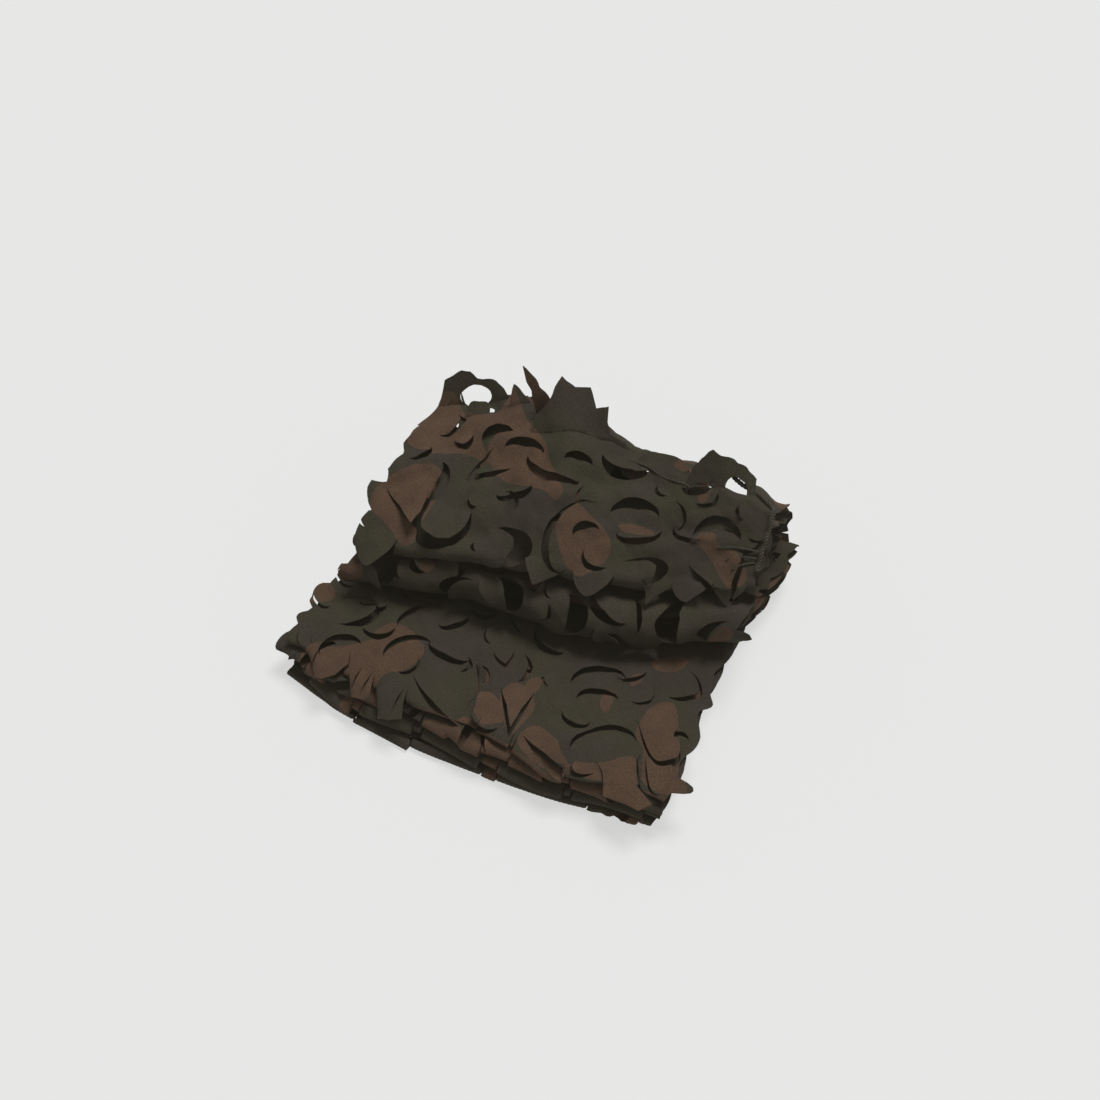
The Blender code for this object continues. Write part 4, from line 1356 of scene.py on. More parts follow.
@dataclass(frozen=True)
class Lobe:
    """A rounded or pointed bit that stands out of the sheet's edge."""

    side: Side
    mark: Mark
    along: float
    width: float
    reach: float
    point: float = 0.0


LOBES = (
    Lobe(Side.LEFT, Mark.FLAT_TOP, 0.066, 0.034, 0.014),
    Lobe(Side.LEFT, Mark.FLAT_TOP, 0.030, 0.016, 0.006),
    Lobe(Side.LEFT, Mark.FLAT_TOP, 0.004, 0.030, 0.006, 1.0),
    Lobe(Side.LEFT, Mark.ROLL, 0.014, 0.036, 0.006),
    Lobe(Side.LEFT, Mark.BROW, 0.028, 0.026, 0.003, 0.6),
    Lobe(Side.LEFT, Mark.BROW, 0.058, 0.038, 0.012, 0.3),
    Lobe(Side.LEFT, Mark.BROW, 0.106, 0.018, 0.004, 0.8),
    Lobe(Side.LEFT, Mark.FRONT_2, 0.000, 0.060, 0.012),
    Lobe(Side.RIGHT, Mark.FLAT_TOP, 0.016, 0.017, 0.018),
    Lobe(Side.RIGHT, Mark.FLAT_TOP, 0.080, 0.050, 0.006, 0.5),
    Lobe(Side.RIGHT, Mark.ROLL, 0.002, 0.020, 0.017, 0.5),
    Lobe(Side.RIGHT, Mark.FLAT_TOP, 0.120, 0.020, 0.008, 0.7),
)


@dataclass(frozen=True)
class Edge:
    """How far the sheet reaches to the left and the right at a mark along the folded path."""

    mark: Mark
    left: float
    right: float

    def at(self, side: Side) -> float:
        """The x of the sheet's edge on a side."""
        return self.left if side is Side.LEFT else self.right


EDGES = (
    Edge(Mark.START, -0.200, 0.205),
    Edge(Mark.FLAT_TOP, -0.203, 0.214),
    Edge(Mark.ROLL, -0.182, 0.211),
    Edge(Mark.TUCK, -0.186, 0.194),
    Edge(Mark.BROW, -0.180, 0.210),
    Edge(Mark.CREST, -0.186, 0.200),
    Edge(Mark.END, -0.184, 0.198),
)


@dataclass(frozen=True)
class Patch:
    """A brown patch of the print, as a few corners measured along and across the sheet from a mark."""

    mark: Mark
    corners: tuple[Pair, ...]


def band(mark: Mark, left: float, right: float, low: float = -0.014, high: float = 0.014) -> Patch:
    """Draws a brown patch across a fold, with slanted ends.

    Args:
        mark: The fold.
        left: Its left end.
        right: Its right end.
        low: Where it starts along the sheet.
        high: Where it stops.

    Returns:
        The patch.
    """
    slant = 0.002
    return Patch(mark, ((low, left), (high, left + slant), (high, right), (low, right - slant)))


BROWN_PATCHES = (
    Patch(Mark.BROW, (
        (0.105, -0.188), (0.150, -0.196), (0.166, -0.190), (0.172, -0.172), (0.152, -0.150), (0.148, -0.116),
        (0.190, -0.110), (0.172, -0.096), (0.150, -0.072), (0.137, -0.042), (0.123, -0.033), (0.102, -0.010),
        (0.089, 0.002), (0.075, -0.002), (0.088, -0.019), (0.089, -0.070), (0.105, -0.088), (0.107, -0.119),
        (0.098, -0.142),
    )),
    Patch(Mark.BROW, (
        (0.040, -0.184), (0.060, -0.188), (0.078, -0.174), (0.088, -0.146), (0.084, -0.128), (0.062, -0.122),
        (0.040, -0.120), (0.014, -0.120), (0.004, -0.128), (0.024, -0.150),
    )),
    Patch(Mark.BROW, ((0.063, -0.168), (0.077, -0.172), (0.080, -0.158), (0.062, -0.158))),
    Patch(Mark.BROW, (
        (0.059, 0.000), (0.066, 0.007), (0.080, 0.015), (0.075, 0.034), (0.065, 0.052), (0.050, 0.066),
        (0.028, 0.070), (0.007, 0.059), (0.002, 0.046), (0.015, 0.029), (0.038, 0.012),
    )),
    Patch(Mark.BROW, ((0.074, 0.061), (0.084, 0.082), (0.082, 0.093), (0.071, 0.105), (0.064, 0.073))),
    Patch(Mark.BROW, (
        (0.073, 0.139), (0.090, 0.144), (0.094, 0.155), (0.070, 0.162), (0.071, 0.181), (0.032, 0.198),
        (0.003, 0.201), (0.008, 0.186), (0.043, 0.164), (0.063, 0.150),
    )),
    Patch(Mark.BROW, ((0.147, 0.120), (0.159, 0.124), (0.159, 0.134), (0.135, 0.136), (0.128, 0.128))),
    Patch(Mark.ROLL, ((0.037, 0.146), (0.048, 0.142), (0.056, 0.154), (0.043, 0.158))),
    Patch(Mark.ROLL, ((-0.012, 0.190), (0.004, 0.190), (0.019, 0.194), (0.007, 0.210), (-0.012, 0.206))),
    Patch(Mark.ROLL, ((0.025, -0.113), (0.040, -0.104), (0.025, -0.093), (0.016, -0.103))),
    Patch(Mark.ROLL, ((-0.004, -0.195), (0.036, -0.195), (0.040, -0.172), (0.002, -0.160))),
    Patch(Mark.CREST, ((-0.010, -0.074), (0.060, -0.130), (0.066, -0.096), (-0.004, -0.052))),
    Patch(Mark.CREST, ((-0.003, 0.084), (0.012, 0.090), (0.010, 0.104), (-0.006, 0.104))),
    Patch(Mark.FLAT_TOP, (
        (0.048, -0.225), (0.090, -0.225), (0.082, -0.198), (0.070, -0.188), (0.056, -0.198),
    )),
    Patch(Mark.FLAT_TOP, (
        (-0.034, -0.182), (0.006, -0.180), (0.018, -0.150), (0.030, -0.137), (0.042, -0.126), (0.063, -0.128),
        (0.076, -0.112), (0.073, -0.095), (0.061, -0.071), (0.044, -0.070), (0.024, -0.076), (0.014, -0.094),
        (-0.034, -0.096),
    )),
    Patch(Mark.FLAT_TOP, (
        (0.026, 0.000), (0.036, 0.004), (0.042, 0.016), (0.023, 0.040), (0.012, 0.038), (0.000, 0.024),
        (0.012, 0.007),
    )),
    Patch(Mark.FLAT_TOP, (
        (0.046, 0.020), (0.063, 0.024), (0.068, 0.042), (0.049, 0.060), (0.026, 0.058), (0.002, 0.054),
        (0.021, 0.036),
    )),
    Patch(Mark.FLAT_TOP, ((0.000, 0.056), (0.033, 0.068), (0.028, 0.086), (0.012, 0.118), (0.000, 0.122))),
    Patch(Mark.FLAT_TOP, (
        (0.000, 0.112), (0.013, 0.117), (0.020, 0.150), (0.032, 0.160), (0.031, 0.174), (0.014, 0.180),
        (0.000, 0.190),
    )),
    Patch(Mark.FLAT_TOP, (
        (0.057, 0.159), (0.089, 0.162), (0.103, 0.170), (0.111, 0.188), (0.069, 0.203), (0.034, 0.214),
        (0.012, 0.232), (0.000, 0.220), (0.008, 0.186), (0.035, 0.177), (0.050, 0.172),
    )),
    Patch(Mark.FLAT_TOP, (
        (0.152, 0.140), (0.165, 0.162), (0.165, 0.182), (0.150, 0.178), (0.140, 0.167), (0.139, 0.150),
    )),
    Patch(Mark.FLAT_TOP, ((0.118, 0.130), (0.130, 0.134), (0.128, 0.146), (0.112, 0.139))),
    Patch(Mark.FLAT_TOP, ((0.099, 0.113), (0.102, 0.125), (0.070, 0.128), (0.083, 0.113))),
    Patch(Mark.FLAT_TOP, ((0.066, 0.036), (0.081, 0.040), (0.082, 0.052), (0.056, 0.052))),
    band(Mark.FRONT_3, -0.192, -0.106, high=-0.001),
    band(Mark.FRONT_3, -0.052, 0.130, high=0.004),
    band(Mark.FRONT_3, 0.150, 0.225, high=0.006),
    band(Mark.FRONT_2, -0.186, -0.150),
    band(Mark.FRONT_2, -0.113, -0.086),
    band(Mark.FRONT_2, -0.036, 0.106),
    band(Mark.FRONT_2, 0.112, 0.200),
    band(Mark.FRONT_1, -0.128, -0.100),
    band(Mark.FRONT_1, 0.034, 0.054),
    band(Mark.FRONT_0, 0.036, 0.054),
    band(Mark.FRONT_0, 0.165, 0.198),
)


@dataclass(frozen=True)
class Stretch:
    """A stretch of the sheet, from low to high past a mark."""

    mark: Mark
    low: float
    high: float

    def holds(self, u: Array, marks: Marks) -> Array:
        """Whether places along the sheet lie in the stretch."""
        place = u - marks[self.mark]
        return (place > self.low) & (place < self.high)


PATCHED_STRETCHES = (
    Stretch(Mark.FRONT_0, -0.02, 0.02),
    Stretch(Mark.FRONT_1, -0.02, 0.02),
    Stretch(Mark.FRONT_2, -0.02, 0.02),
    Stretch(Mark.FRONT_3, -0.02, 0.20),
    Stretch(Mark.ROLL, -0.045, 0.08),
    Stretch(Mark.BROW, -0.03, 0.20),
)


@dataclass(frozen=True)
class BrownPrint:
    """The brown print: patches with their own places where the cloth shows, and seeded blotches elsewhere."""

    seed: int = 21
    limit_mm: float = 20.0
    patch_reach: float = 0.12
    waves: int = 16
    shortest: float = 0.055
    longest: float = 0.13
    spread: float = 2.8
    level: float = 0.75
    slope_mm: float = 14.0

    def depth(self, x: Array, u: Array, marks: Marks) -> Array:
        """Finds how deep in brown places of the sheet lie.

        Args:
            x: Places across the sheet.
            u: Places along it.
            marks: Where each mark lies along the sheet.

        Returns:
            The depth in millimetres, which is below zero outside the brown.
        """
        depth = np.full(len(x), -self.limit_mm)
        places = np.stack([u, x], axis=1)
        for patch in BROWN_PATCHES:
            corners = rounded(np.array(patch.corners) + (marks[patch.mark], 0.0))
            near = abs(u - corners[:, 0].mean()) < self.patch_reach
            depth[near] = np.maximum(depth[near], MM_PER_METRE * depth_inside(corners, places[near]))
        patched = np.any([stretch.holds(u, marks) for stretch in PATCHED_STRETCHES], axis=0)
        depth = np.where(patched, depth, np.maximum(depth, self._blotches(x, u)))
        return np.clip(depth, -self.limit_mm, self.limit_mm)

    def _blotches(self, x: Array, u: Array) -> Array:
        """Draws uneven blotches.

        Args:
            x: Places across the sheet.
            u: Places along it.

        Returns:
            How deep each place lies in a blotch, in millimetres.
        """
        draw = np.random.default_rng(self.seed)
        blotch = np.zeros(len(x))
        for _ in range(self.waves):
            turn, start = draw.uniform(0, math.tau, 2)
            length = draw.uniform(self.shortest, self.longest)
            blotch += np.sin(wave_phase(x, u, length, turn, start))
        return (blotch / self.spread - self.level) * self.slope_mm


@dataclass(frozen=True)
class LeafRepeat:
    """A staggered, uneven repeat of cuts, between a place past one mark and a place past another."""

    start: Mark
    low: float
    end: Mark
    high: float
    pitch: Pair
    lies_flat: bool
    seed: int = 21
    sheet_width: float = 0.42
    stray: Pair = (-0.008, 0.008)
    width: Pair = (0.030, 0.042)
    length: Pair = (0.026, 0.038)
    headings: Pair = (90.0, -90.0)
    heading_stray: Pair = (-50.0, 50.0)
    gap: Pair = (0.005, 0.009)
    points: tuple[float, ...] = (0.0, 0.0, 0.3, 0.8)
    lift: Pair = (5.0, 12.0)
    curl: Pair = (10.0, 30.0)
    twist: Pair = (-14.0, 14.0)

    def cuts(self, marks: Marks) -> list[LeafCut]:
        """Draws the cuts row by row.

        Args:
            marks: Where each mark lies along the sheet.

        Returns:
            The cuts.
        """
        draw = np.random.default_rng(self.seed + round(self.low * MM_PER_METRE))
        high = marks[self.end] - marks[self.start] + self.high
        found = []
        for i in range(int((high - self.low) / self.pitch[0])):
            for j in range(int(self.sheet_width / self.pitch[1]) + 1):
                stagger = 0.5 if i % 2 else 0.0
                along = self.low + (i + 0.5) * self.pitch[0] + draw.uniform(*self.stray)
                x = -self.sheet_width / 2 + (j + stagger) * self.pitch[1] + draw.uniform(*self.stray)
                width = draw.uniform(*self.width)
                length = draw.uniform(*self.length)
                heading = draw.choice(self.headings) + draw.uniform(*self.heading_stray)
                gap = draw.uniform(*self.gap)
                point = draw.choice(self.points)
                turns = [draw.uniform(*spread) for spread in (self.lift, self.curl, self.twist)]
                if self.lies_flat:
                    turns = [0.0, 0.0, 0.0]
                found.append(LeafCut(self.start, along, x, width, length, heading, gap, point, *turns))
        return found


LEAF_REPEATS = (
    LeafRepeat(Mark.CREST, 0.085, Mark.END, 0.0, (0.058, 0.056), False),
    LeafRepeat(Mark.START, 0.02, Mark.ROLL, -0.05, (0.072, 0.066), True),
    LeafRepeat(Mark.ROLL, 0.08, Mark.BROW, -0.04, (0.072, 0.066), True),
)


@dataclass(frozen=True)
class SmallLeaves:
    """Small leaves that fill the cloth between the larger ones, from low to high past a mark."""

    mark: Mark
    low: float
    high: float
    gap: float
    lift: float
    seed: int = 26
    pitch: Pair = (0.017, 0.021)
    across: Pair = (-0.19, 0.20)
    width: Pair = (0.018, 0.030)
    length: Pair = (0.008, 0.022)
    stray_along: Pair = (-0.008, 0.008)
    stray_across: Pair = (-0.010, 0.010)
    heading: Pair = (70.0, 290.0)
    points: tuple[float, ...] = (0.0, 0.0, 0.4)
    gap_share: Pair = (0.8, 1.3)
    lift_share: Pair = (0.7, 1.3)
    curl: float = 6.0

    def cuts(self) -> list[LeafCut]:
        """Draws the cuts row by row.

        Returns:
            The cuts.
        """
        draw = np.random.default_rng(self.seed)
        found = []
        for row in np.arange(self.low, self.high, self.pitch[0]):
            for place in np.arange(*self.across, self.pitch[1]):
                width = draw.uniform(*self.width)
                length = draw.uniform(*self.length)
                along = row + draw.uniform(*self.stray_along)
                x = place + draw.uniform(*self.stray_across)
                heading = draw.uniform(*self.heading)
                point = draw.choice(self.points)
                gap = self.gap * draw.uniform(*self.gap_share)
                lift = self.lift * draw.uniform(*self.lift_share)
                shape = (width, length, heading, gap, point, lift, self.curl)
                found.append(LeafCut(self.mark, along, x, *shape, neck=0))
        return found


SMALL_LEAVES = (
    SmallLeaves(Mark.FLAT_TOP, 0.016, 0.150, 0.0015, 9.0),
    SmallLeaves(Mark.ROLL, -0.030, 0.060, 0.0024, 14.0),
    SmallLeaves(Mark.BROW, 0.006, 0.155, 0.0024, 15.0),
)


# ---------------------------------------------------------------------------------------------------------
# The garnish sheet


@dataclass(frozen=True)
class Zone(Stretch):
    """A stretch of the sheet that shows and so is meshed finely, with its spacing along and across."""

    along: float
    across: float


FINE_ZONES = (
    Zone(Mark.FRONT_0, -0.014, 0.014, 0.0016, 0.0045),
    Zone(Mark.FRONT_1, -0.016, 0.016, 0.0016, 0.0045),
    Zone(Mark.FRONT_2, -0.016, 0.016, 0.0016, 0.0045),
    Zone(Mark.FRONT_3, -0.016, 0.012, 0.0016, 0.0042),
    Zone(Mark.FLAT_TOP, 0.000, 0.190, 0.0040, 0.0042),
    Zone(Mark.ROLL, -0.040, 0.075, 0.0032, 0.0042),
    Zone(Mark.BROW, -0.022, 0.180, 0.0038, 0.0040),
    Zone(Mark.CREST, 0.000, 0.060, 0.0042, 0.0044),
    Zone(Mark.CREST, 0.060, 0.250, 0.0070, 0.0075),
)


@dataclass
class GarnishSheet:
    """The one folded sheet of garnish cloth, with its leaves, its lobed edges and its print."""

    path: FoldedPath
    finish: GarnishFinish
    crumple: Crumple = Crumple()
    brown: BrownPrint = BrownPrint()
    thickness: float = 0.0009
    hidden_pitch: float = 0.015
    hidden_step: float = 0.0056
    curve_step: float = 0.0026
    edge_step: float = 0.0034
    row_slack: float = 0.2
    edge_margin: float = 0.4
    clear_share: float = 0.42
    widest_spacing: float = 0.0045
    slit_width: float = 0.0016
    lip: float = 0.0018
    lip_reach: float = 0.009
    leaf_reach: float = 0.1
    scallop_depth: float = 0.006
    scallop_level: float = 0.6
    scallop_length: float = 0.058
    right_scallop_shift: float = 0.35
    leaf_space: float = 0.0042
    far_apart: float = 1.3
    standing_lift: float = 35.0
    weld: float = 1e-6
    sharp_from: float = 50.0
    back_chart_z: float = 0.5

    def edge(self, u: Array, side: Side) -> Array:
        """Finds one of the sheet's side edges, with its scallops and lobes.

        Args:
            u: Places along the sheet.
            side: Which edge.

        Returns:
            The edge's x at each place.
        """
        places = [self.path.marks[edge.mark] for edge in EDGES]
        x = smooth_curve(places, [edge.at(side) for edge in EDGES], u)
        shift = self.right_scallop_shift if side is Side.RIGHT else 0.0
        wave = abs(np.sin(math.pi * (u / self.scallop_length + shift)))
        reach = self.scallop_depth * (wave - self.scallop_level)
        for lobe in LOBES:
            if lobe.side is not side:
                continue
            t = np.clip(abs(u - self.path.at(lobe.mark, lobe.along)) / (lobe.width / 2), 0, 1)
            reach = reach + lobe.reach * (lobe.point * (1 - t) + (1 - lobe.point) * np.sqrt(1 - t * t))
        return x + side.value * reach

    def outline(self) -> Array:
        """Draws the sheet's outline, up its right edge and down its left.

        Returns:
            The (x, u) points.
        """
        end = self.path.us[-1]
        u = np.linspace(0, end, round(end / self.edge_step))
        right = np.stack([self.edge(u, Side.RIGHT), u], axis=1)
        left = np.stack([self.edge(u, Side.LEFT), u], axis=1)[::-1]
        return np.concatenate([right, left])

    def leaves(self) -> list[PlacedLeaf]:
        """Places every leaf: the ones with their own places, then the others wherever they are clear of them.

        Returns:
            The leaves.
        """
        placed = [PlacedLeaf(self.path, cut) for cut in HERO_CUTS]
        rest = [cut for repeat in LEAF_REPEATS for cut in repeat.cuts(self.path.marks)]
        rest += [cut for small in SMALL_LEAVES for cut in small.cuts()]
        for cut in rest:
            leaf = PlacedLeaf(self.path, cut)
            if all(self.clear(leaf, other) for other in placed):
                placed.append(leaf)
        return placed

    def clear(self, leaf: PlacedLeaf, other: PlacedLeaf) -> bool:
        """Tells whether two leaves lie apart in the sheet.

        Args:
            leaf: A leaf.
            other: Another leaf.

        Returns:
            Whether there is space between them and neither lies in the other.
        """
        dx = float(leaf.centre[0][0] - other.centre[0][0])
        du = float(leaf.centre[1][0] - other.centre[1][0])
        if math.hypot(dx, du) > self.far_apart * (leaf.size + other.size) + self.leaf_space:
            return True
        apart = np.linalg.norm(leaf.ring[:, None] - other.ring[None], axis=2).min()
        nested = inside(other.ring, leaf.ring).any() or inside(leaf.ring, other.ring).any()
        return bool(apart > self.leaf_space and not nested)

    def rows(self) -> list[Pair]:
        """Spaces the rows of the sheet's inner points, closer where the cloth shows.

        Returns:
            Each row's place along the sheet, and the spacing of its points.
        """
        found: list[Pair] = []
        stops = self.path.stops
        for low, high in zip(stops, stops[1:]):
            middle = (low + high) / 2
            along = across = self.hidden_pitch
            for zone in FINE_ZONES:
                if zone.holds(middle, self.path.marks):
                    along = zone.along
                    across = zone.across
            count = max(1, math.ceil((high - low) / along - self.row_slack))
            found += [(low + (high - low) * i / count, across) for i in range(count)]
        return found

    def grid(self, loops: list[Array]) -> Array:
        """Sets out the sheet's inner points, in staggered rows.

        Args:
            loops: The outlines that the points keep clear of.

        Returns:
            The (x, u) points.
        """
        near = KDTree(sum(len(loop) for loop in loops))
        for i, (x, u) in enumerate(np.concatenate(loops)):
            near.insert((x, u, 0.0), i)
        near.balance()
        points = []
        for i, (u, across) in enumerate(self.rows()[1:]):
            left = self.edge(np.array([u]), Side.LEFT)[0]
            right = self.edge(np.array([u]), Side.RIGHT)[0]
            first = left + across * (0.5 if i % 2 else 1.0)
            for x in np.arange(first, right - across * self.edge_margin, across):
                if near.find((x, u, 0.0))[2] > min(across, self.widest_spacing) * self.clear_share:
                    points.append((x, u))
        return np.array(points)

    def flat_mesh(self, leaves: list[PlacedLeaf]) -> tuple[Array, Array]:
        """Meshes the flat sheet with its gaps.

        Args:
            leaves: The leaves whose gaps are cut out.

        Returns:
            The (x, u) places of the vertices, and the triangles.
        """
        loops = [self.outline()]
        loops += [leaf.loop(self.curve_step if leaf.cut.lift else self.hidden_step) for leaf in leaves]
        own: dict[int, set[int]] = {}
        for i, leaf in enumerate(leaves, 1):
            if leaf.cut.lift < self.standing_lift:
                continue
            if leaf.cut.window:
                loops.append(leaf.window(self.curve_step))
            own[len(loops)] = {i, len(loops) - 1 if leaf.cut.window else i}
            loops.append(leaf.rim(self.curve_step))
        for block in FOLD_BLOCKS:
            loops += block.slits(self.path, self.slit_width)
        points = [Vector(point) for point in np.concatenate(loops + [self.grid(loops)])]
        faces = []
        first = 0
        for loop in loops:
            faces.append(list(range(first, first + len(loop))))
            first += len(loop)
        coords, _, found, _, _, ids = delaunay_2d_cdt(points, [], faces, 1, self.weld, True)
        kept = np.array([face for face, held in zip(found, ids) if self.stays(set(held), own)])
        return self.largest_part(np.array(coords), kept)

    @staticmethod
    def stays(held: set[int], own: dict[int, set[int]]) -> bool:
        """Tells whether a triangle is cloth: on a standing leaf only that leaf's own gap and window are cut.

        Args:
            held: The loops that the triangle lies in, with 0 for the sheet's outline.
            own: The gap and the window of each standing leaf, by the loop of its rim.

        Returns:
            Whether no gap takes the triangle away.
        """
        for rim, gaps in own.items():
            if rim in held:
                return 0 in held and not held & gaps
        return held == {0}

    @staticmethod
    def largest_part(places: Array, faces: Array) -> tuple[Array, Array]:
        """Keeps the largest connected part of a flat mesh, so that no loose scrap is left.

        Args:
            places: The places of the vertices.
            faces: The triangles.

        Returns:
            The places and the triangles that are kept.
        """
        group = np.arange(len(places))
        while True:
            lowest = group[faces].min(axis=1)
            before = group.copy()
            for corner in range(3):
                np.minimum.at(group, faces[:, corner], lowest)
            group = group[group]
            if (group == before).all():
                break
        of_face = group[faces[:, 0]]
        names, sizes = np.unique(of_face, return_counts=True)
        faces = faces[of_face == names[np.argmax(sizes)]]
        used, index = np.unique(faces, return_inverse=True)
        return places[used], index.reshape(-1, 3)

    def folded(self, leaves: list[PlacedLeaf], x: Array, u: Array) -> list[Array]:
        """Carries places of the flat sheet onto the folded path, with every leaf lifted or sunk.

        Args:
            leaves: The leaves.
            x: Places across the sheet.
            u: Places along it.

        Returns:
            The (x, y, z) points on the face of the sheet, and those on its back.
        """
        held = np.full(len(x), -1)
        sunk = np.zeros(len(x))
        for i, leaf in enumerate(leaves):
            beside = abs(x - leaf.cut.x) < self.leaf_reach
            near = np.flatnonzero((abs(u - leaf.u) < self.leaf_reach) & beside)
            free = near[held[near] < 0]
            held[free[leaf.holds(x[free], u[free])]] = i
            sunk[near] += leaf.sunk(x[near], u[near], self.lip_reach) * self.lip
        normals = self.path.frame(x, u)[0]
        crumple = normals * self.crumple.height(x, u, self.path.marks)[:, None]
        sides = []
        for height in (self.thickness / 2, -self.thickness / 2):
            points = self.path.place(x, u) + normals * (height - sunk)[:, None]
            for block in FOLD_BLOCKS:
                points += block.moved(x, u, self.path)
            for i, leaf in enumerate(leaves):
                on = held == i
                if on.any():
                    points[on] = leaf.raised(x[on], u[on], height)
            sides.append(points + crumple)
        return sides

    @staticmethod
    def closed(faces: Array, count: int) -> Array:
        """Joins the faces of the sheet's two sides along every open edge.

        Args:
            faces: The triangles of one side.
            count: The vertices of one side.

        Returns:
            The triangles of the closed sheet.
        """
        ends = np.concatenate([faces[:, [0, 1]], faces[:, [1, 2]], faces[:, [2, 0]]])
        key = ends[:, 0] * count + ends[:, 1]
        a, b = ends[~np.isin(key, ends[:, 1] * count + ends[:, 0])].T
        rim = np.concatenate([np.stack([b, a, a + count], 1), np.stack([b, a + count, b + count], 1)])
        return np.concatenate([faces, faces[:, ::-1] + count, rim])

    def build(self) -> bpy.types.Object:
        """Meshes the sheet, folds it, thickens it and paints it.

        Returns:
            The sheet's object.
        """
        leaves = self.leaves()
        places, faces = self.flat_mesh(leaves)
        x, u = places.T
        count = len(places)
        triangles = self.closed(faces, count)
        mesh = bpy.data.meshes.new("garnish_sheet")
        mesh.from_pydata(np.concatenate(self.folded(leaves, x, u)), [], triangles)
        mesh.update()
        chart = np.zeros((2 * count, 3), np.float32)
        chart[:, :2] = np.tile(places, (2, 1))
        chart[count:, 2] = self.back_chart_z
        mesh.attributes.new("chart", "FLOAT_VECTOR", "POINT").data.foreach_set("vector", chart.ravel())
        depth = np.tile(self.brown.depth(x, u, self.path.marks), 2).astype(np.float32)
        mesh.attributes.new("brown_mm", "FLOAT", "POINT").data.foreach_set("value", depth)
        mesh.shade_smooth()
        mesh.set_sharp_from_angle(angle=math.radians(self.sharp_from))
        mesh.materials.append(self.finish.material())
        log.info("garnish_sheet: %d leaves, %d triangles", len(leaves), len(triangles))
        return put("garnish_sheet", mesh)


# ---------------------------------------------------------------------------------------------------------
# Cords


@dataclass(frozen=True)
class Lay:
    """A point of a cord's route over the cloth."""

    mark: Mark
    along: float
    x: float


@dataclass(frozen=True)
class Twist:
    """How a cord is made, and how high its lowest side lies over the cloth.

    `strand_share` is a strand's radius as a share of the cord's, and `lay` is the length of one full turn.
    """

    radius: float
    strands: int
    strand_share: float
    lay: float
    seat: float


@dataclass
class LaidCord:
    """A twisted cord that lies over the folded cloth."""

    name: str
    node: str
    route: tuple[Lay, ...]
    twist: Twist
    step: float = 0.0010
    least_points: int = 6
    sides: int = 8
    sharp_from: float = 60.0

    def centreline(self, path: FoldedPath) -> tuple[Array, Array]:
        """Lays the route over the cloth.

        Args:
            path: The folded cloth that the cord lies on.

        Returns:
            The points along the cord's middle, and the cloth's normals there.
        """
        us = np.array([path.at(lay.mark, lay.along) for lay in self.route])
        xs = np.array([lay.x for lay in self.route])
        along = self.lengths(path.place(xs, us))
        at = np.linspace(0, along[-1], max(self.least_points, round(along[-1] / self.step)))
        u = smooth_curve(along, us, at)
        x = smooth_curve(along, xs, at)
        normals = path.frame(x, u)[0]
        return path.place(x, u) + normals * (self.twist.radius + self.twist.seat), normals

    @staticmethod
    def lengths(points: Array) -> Array:
        """The length of a line up to each of its points."""
        return np.concatenate([[0.0], np.cumsum(np.linalg.norm(np.diff(points, axis=0), axis=1))])

    def build(self, path: FoldedPath, material: bpy.types.Material) -> bpy.types.Object:
        """Builds the strands as closed tubes in one mesh.

        Args:
            path: The folded cloth that the cord lies on.
            material: The cord's finish.

        Returns:
            The cord's object.
        """
        twist = self.twist
        line, up = self.centreline(path)
        ahead = np.gradient(line, axis=0)
        ahead /= np.linalg.norm(ahead, axis=1, keepdims=True)
        aside = np.cross(ahead, up)
        aside /= np.linalg.norm(aside, axis=1, keepdims=True)
        up = np.cross(aside, ahead)
        run = self.lengths(line)
        thin = twist.radius * twist.strand_share
        off = twist.radius - thin
        vertices = []
        faces = []
        for strand in range(twist.strands):
            turn = math.tau * (run / twist.lay + strand / twist.strands)
            centre = line + off * (np.cos(turn)[:, None] * up + np.sin(turn)[:, None] * aside)
            first = len(vertices)
            for i, middle in enumerate(centre):
                for k in range(self.sides):
                    angle = math.tau * k / self.sides + turn[i]
                    vertices.append(middle + thin * (math.cos(angle) * up[i] + math.sin(angle) * aside[i]))
            for i in range(len(centre) - 1):
                for k in range(self.sides):
                    a = first + i * self.sides + k
                    b = first + i * self.sides + (k + 1) % self.sides
                    faces.append((a, b, b + self.sides, a + self.sides))
            last = first + (len(centre) - 1) * self.sides
            faces.append(tuple(range(first + self.sides - 1, first - 1, -1)))
            faces.append(tuple(range(last, last + self.sides)))
        mesh = bpy.data.meshes.new(self.name)
        mesh.from_pydata(vertices, [], faces)
        mesh.shade_smooth()
        mesh.set_sharp_from_angle(angle=math.radians(self.sharp_from))
        mesh.materials.append(material)
        log.info("%s: %.3f m", self.name, run[-1])
        return put(self.name, mesh)


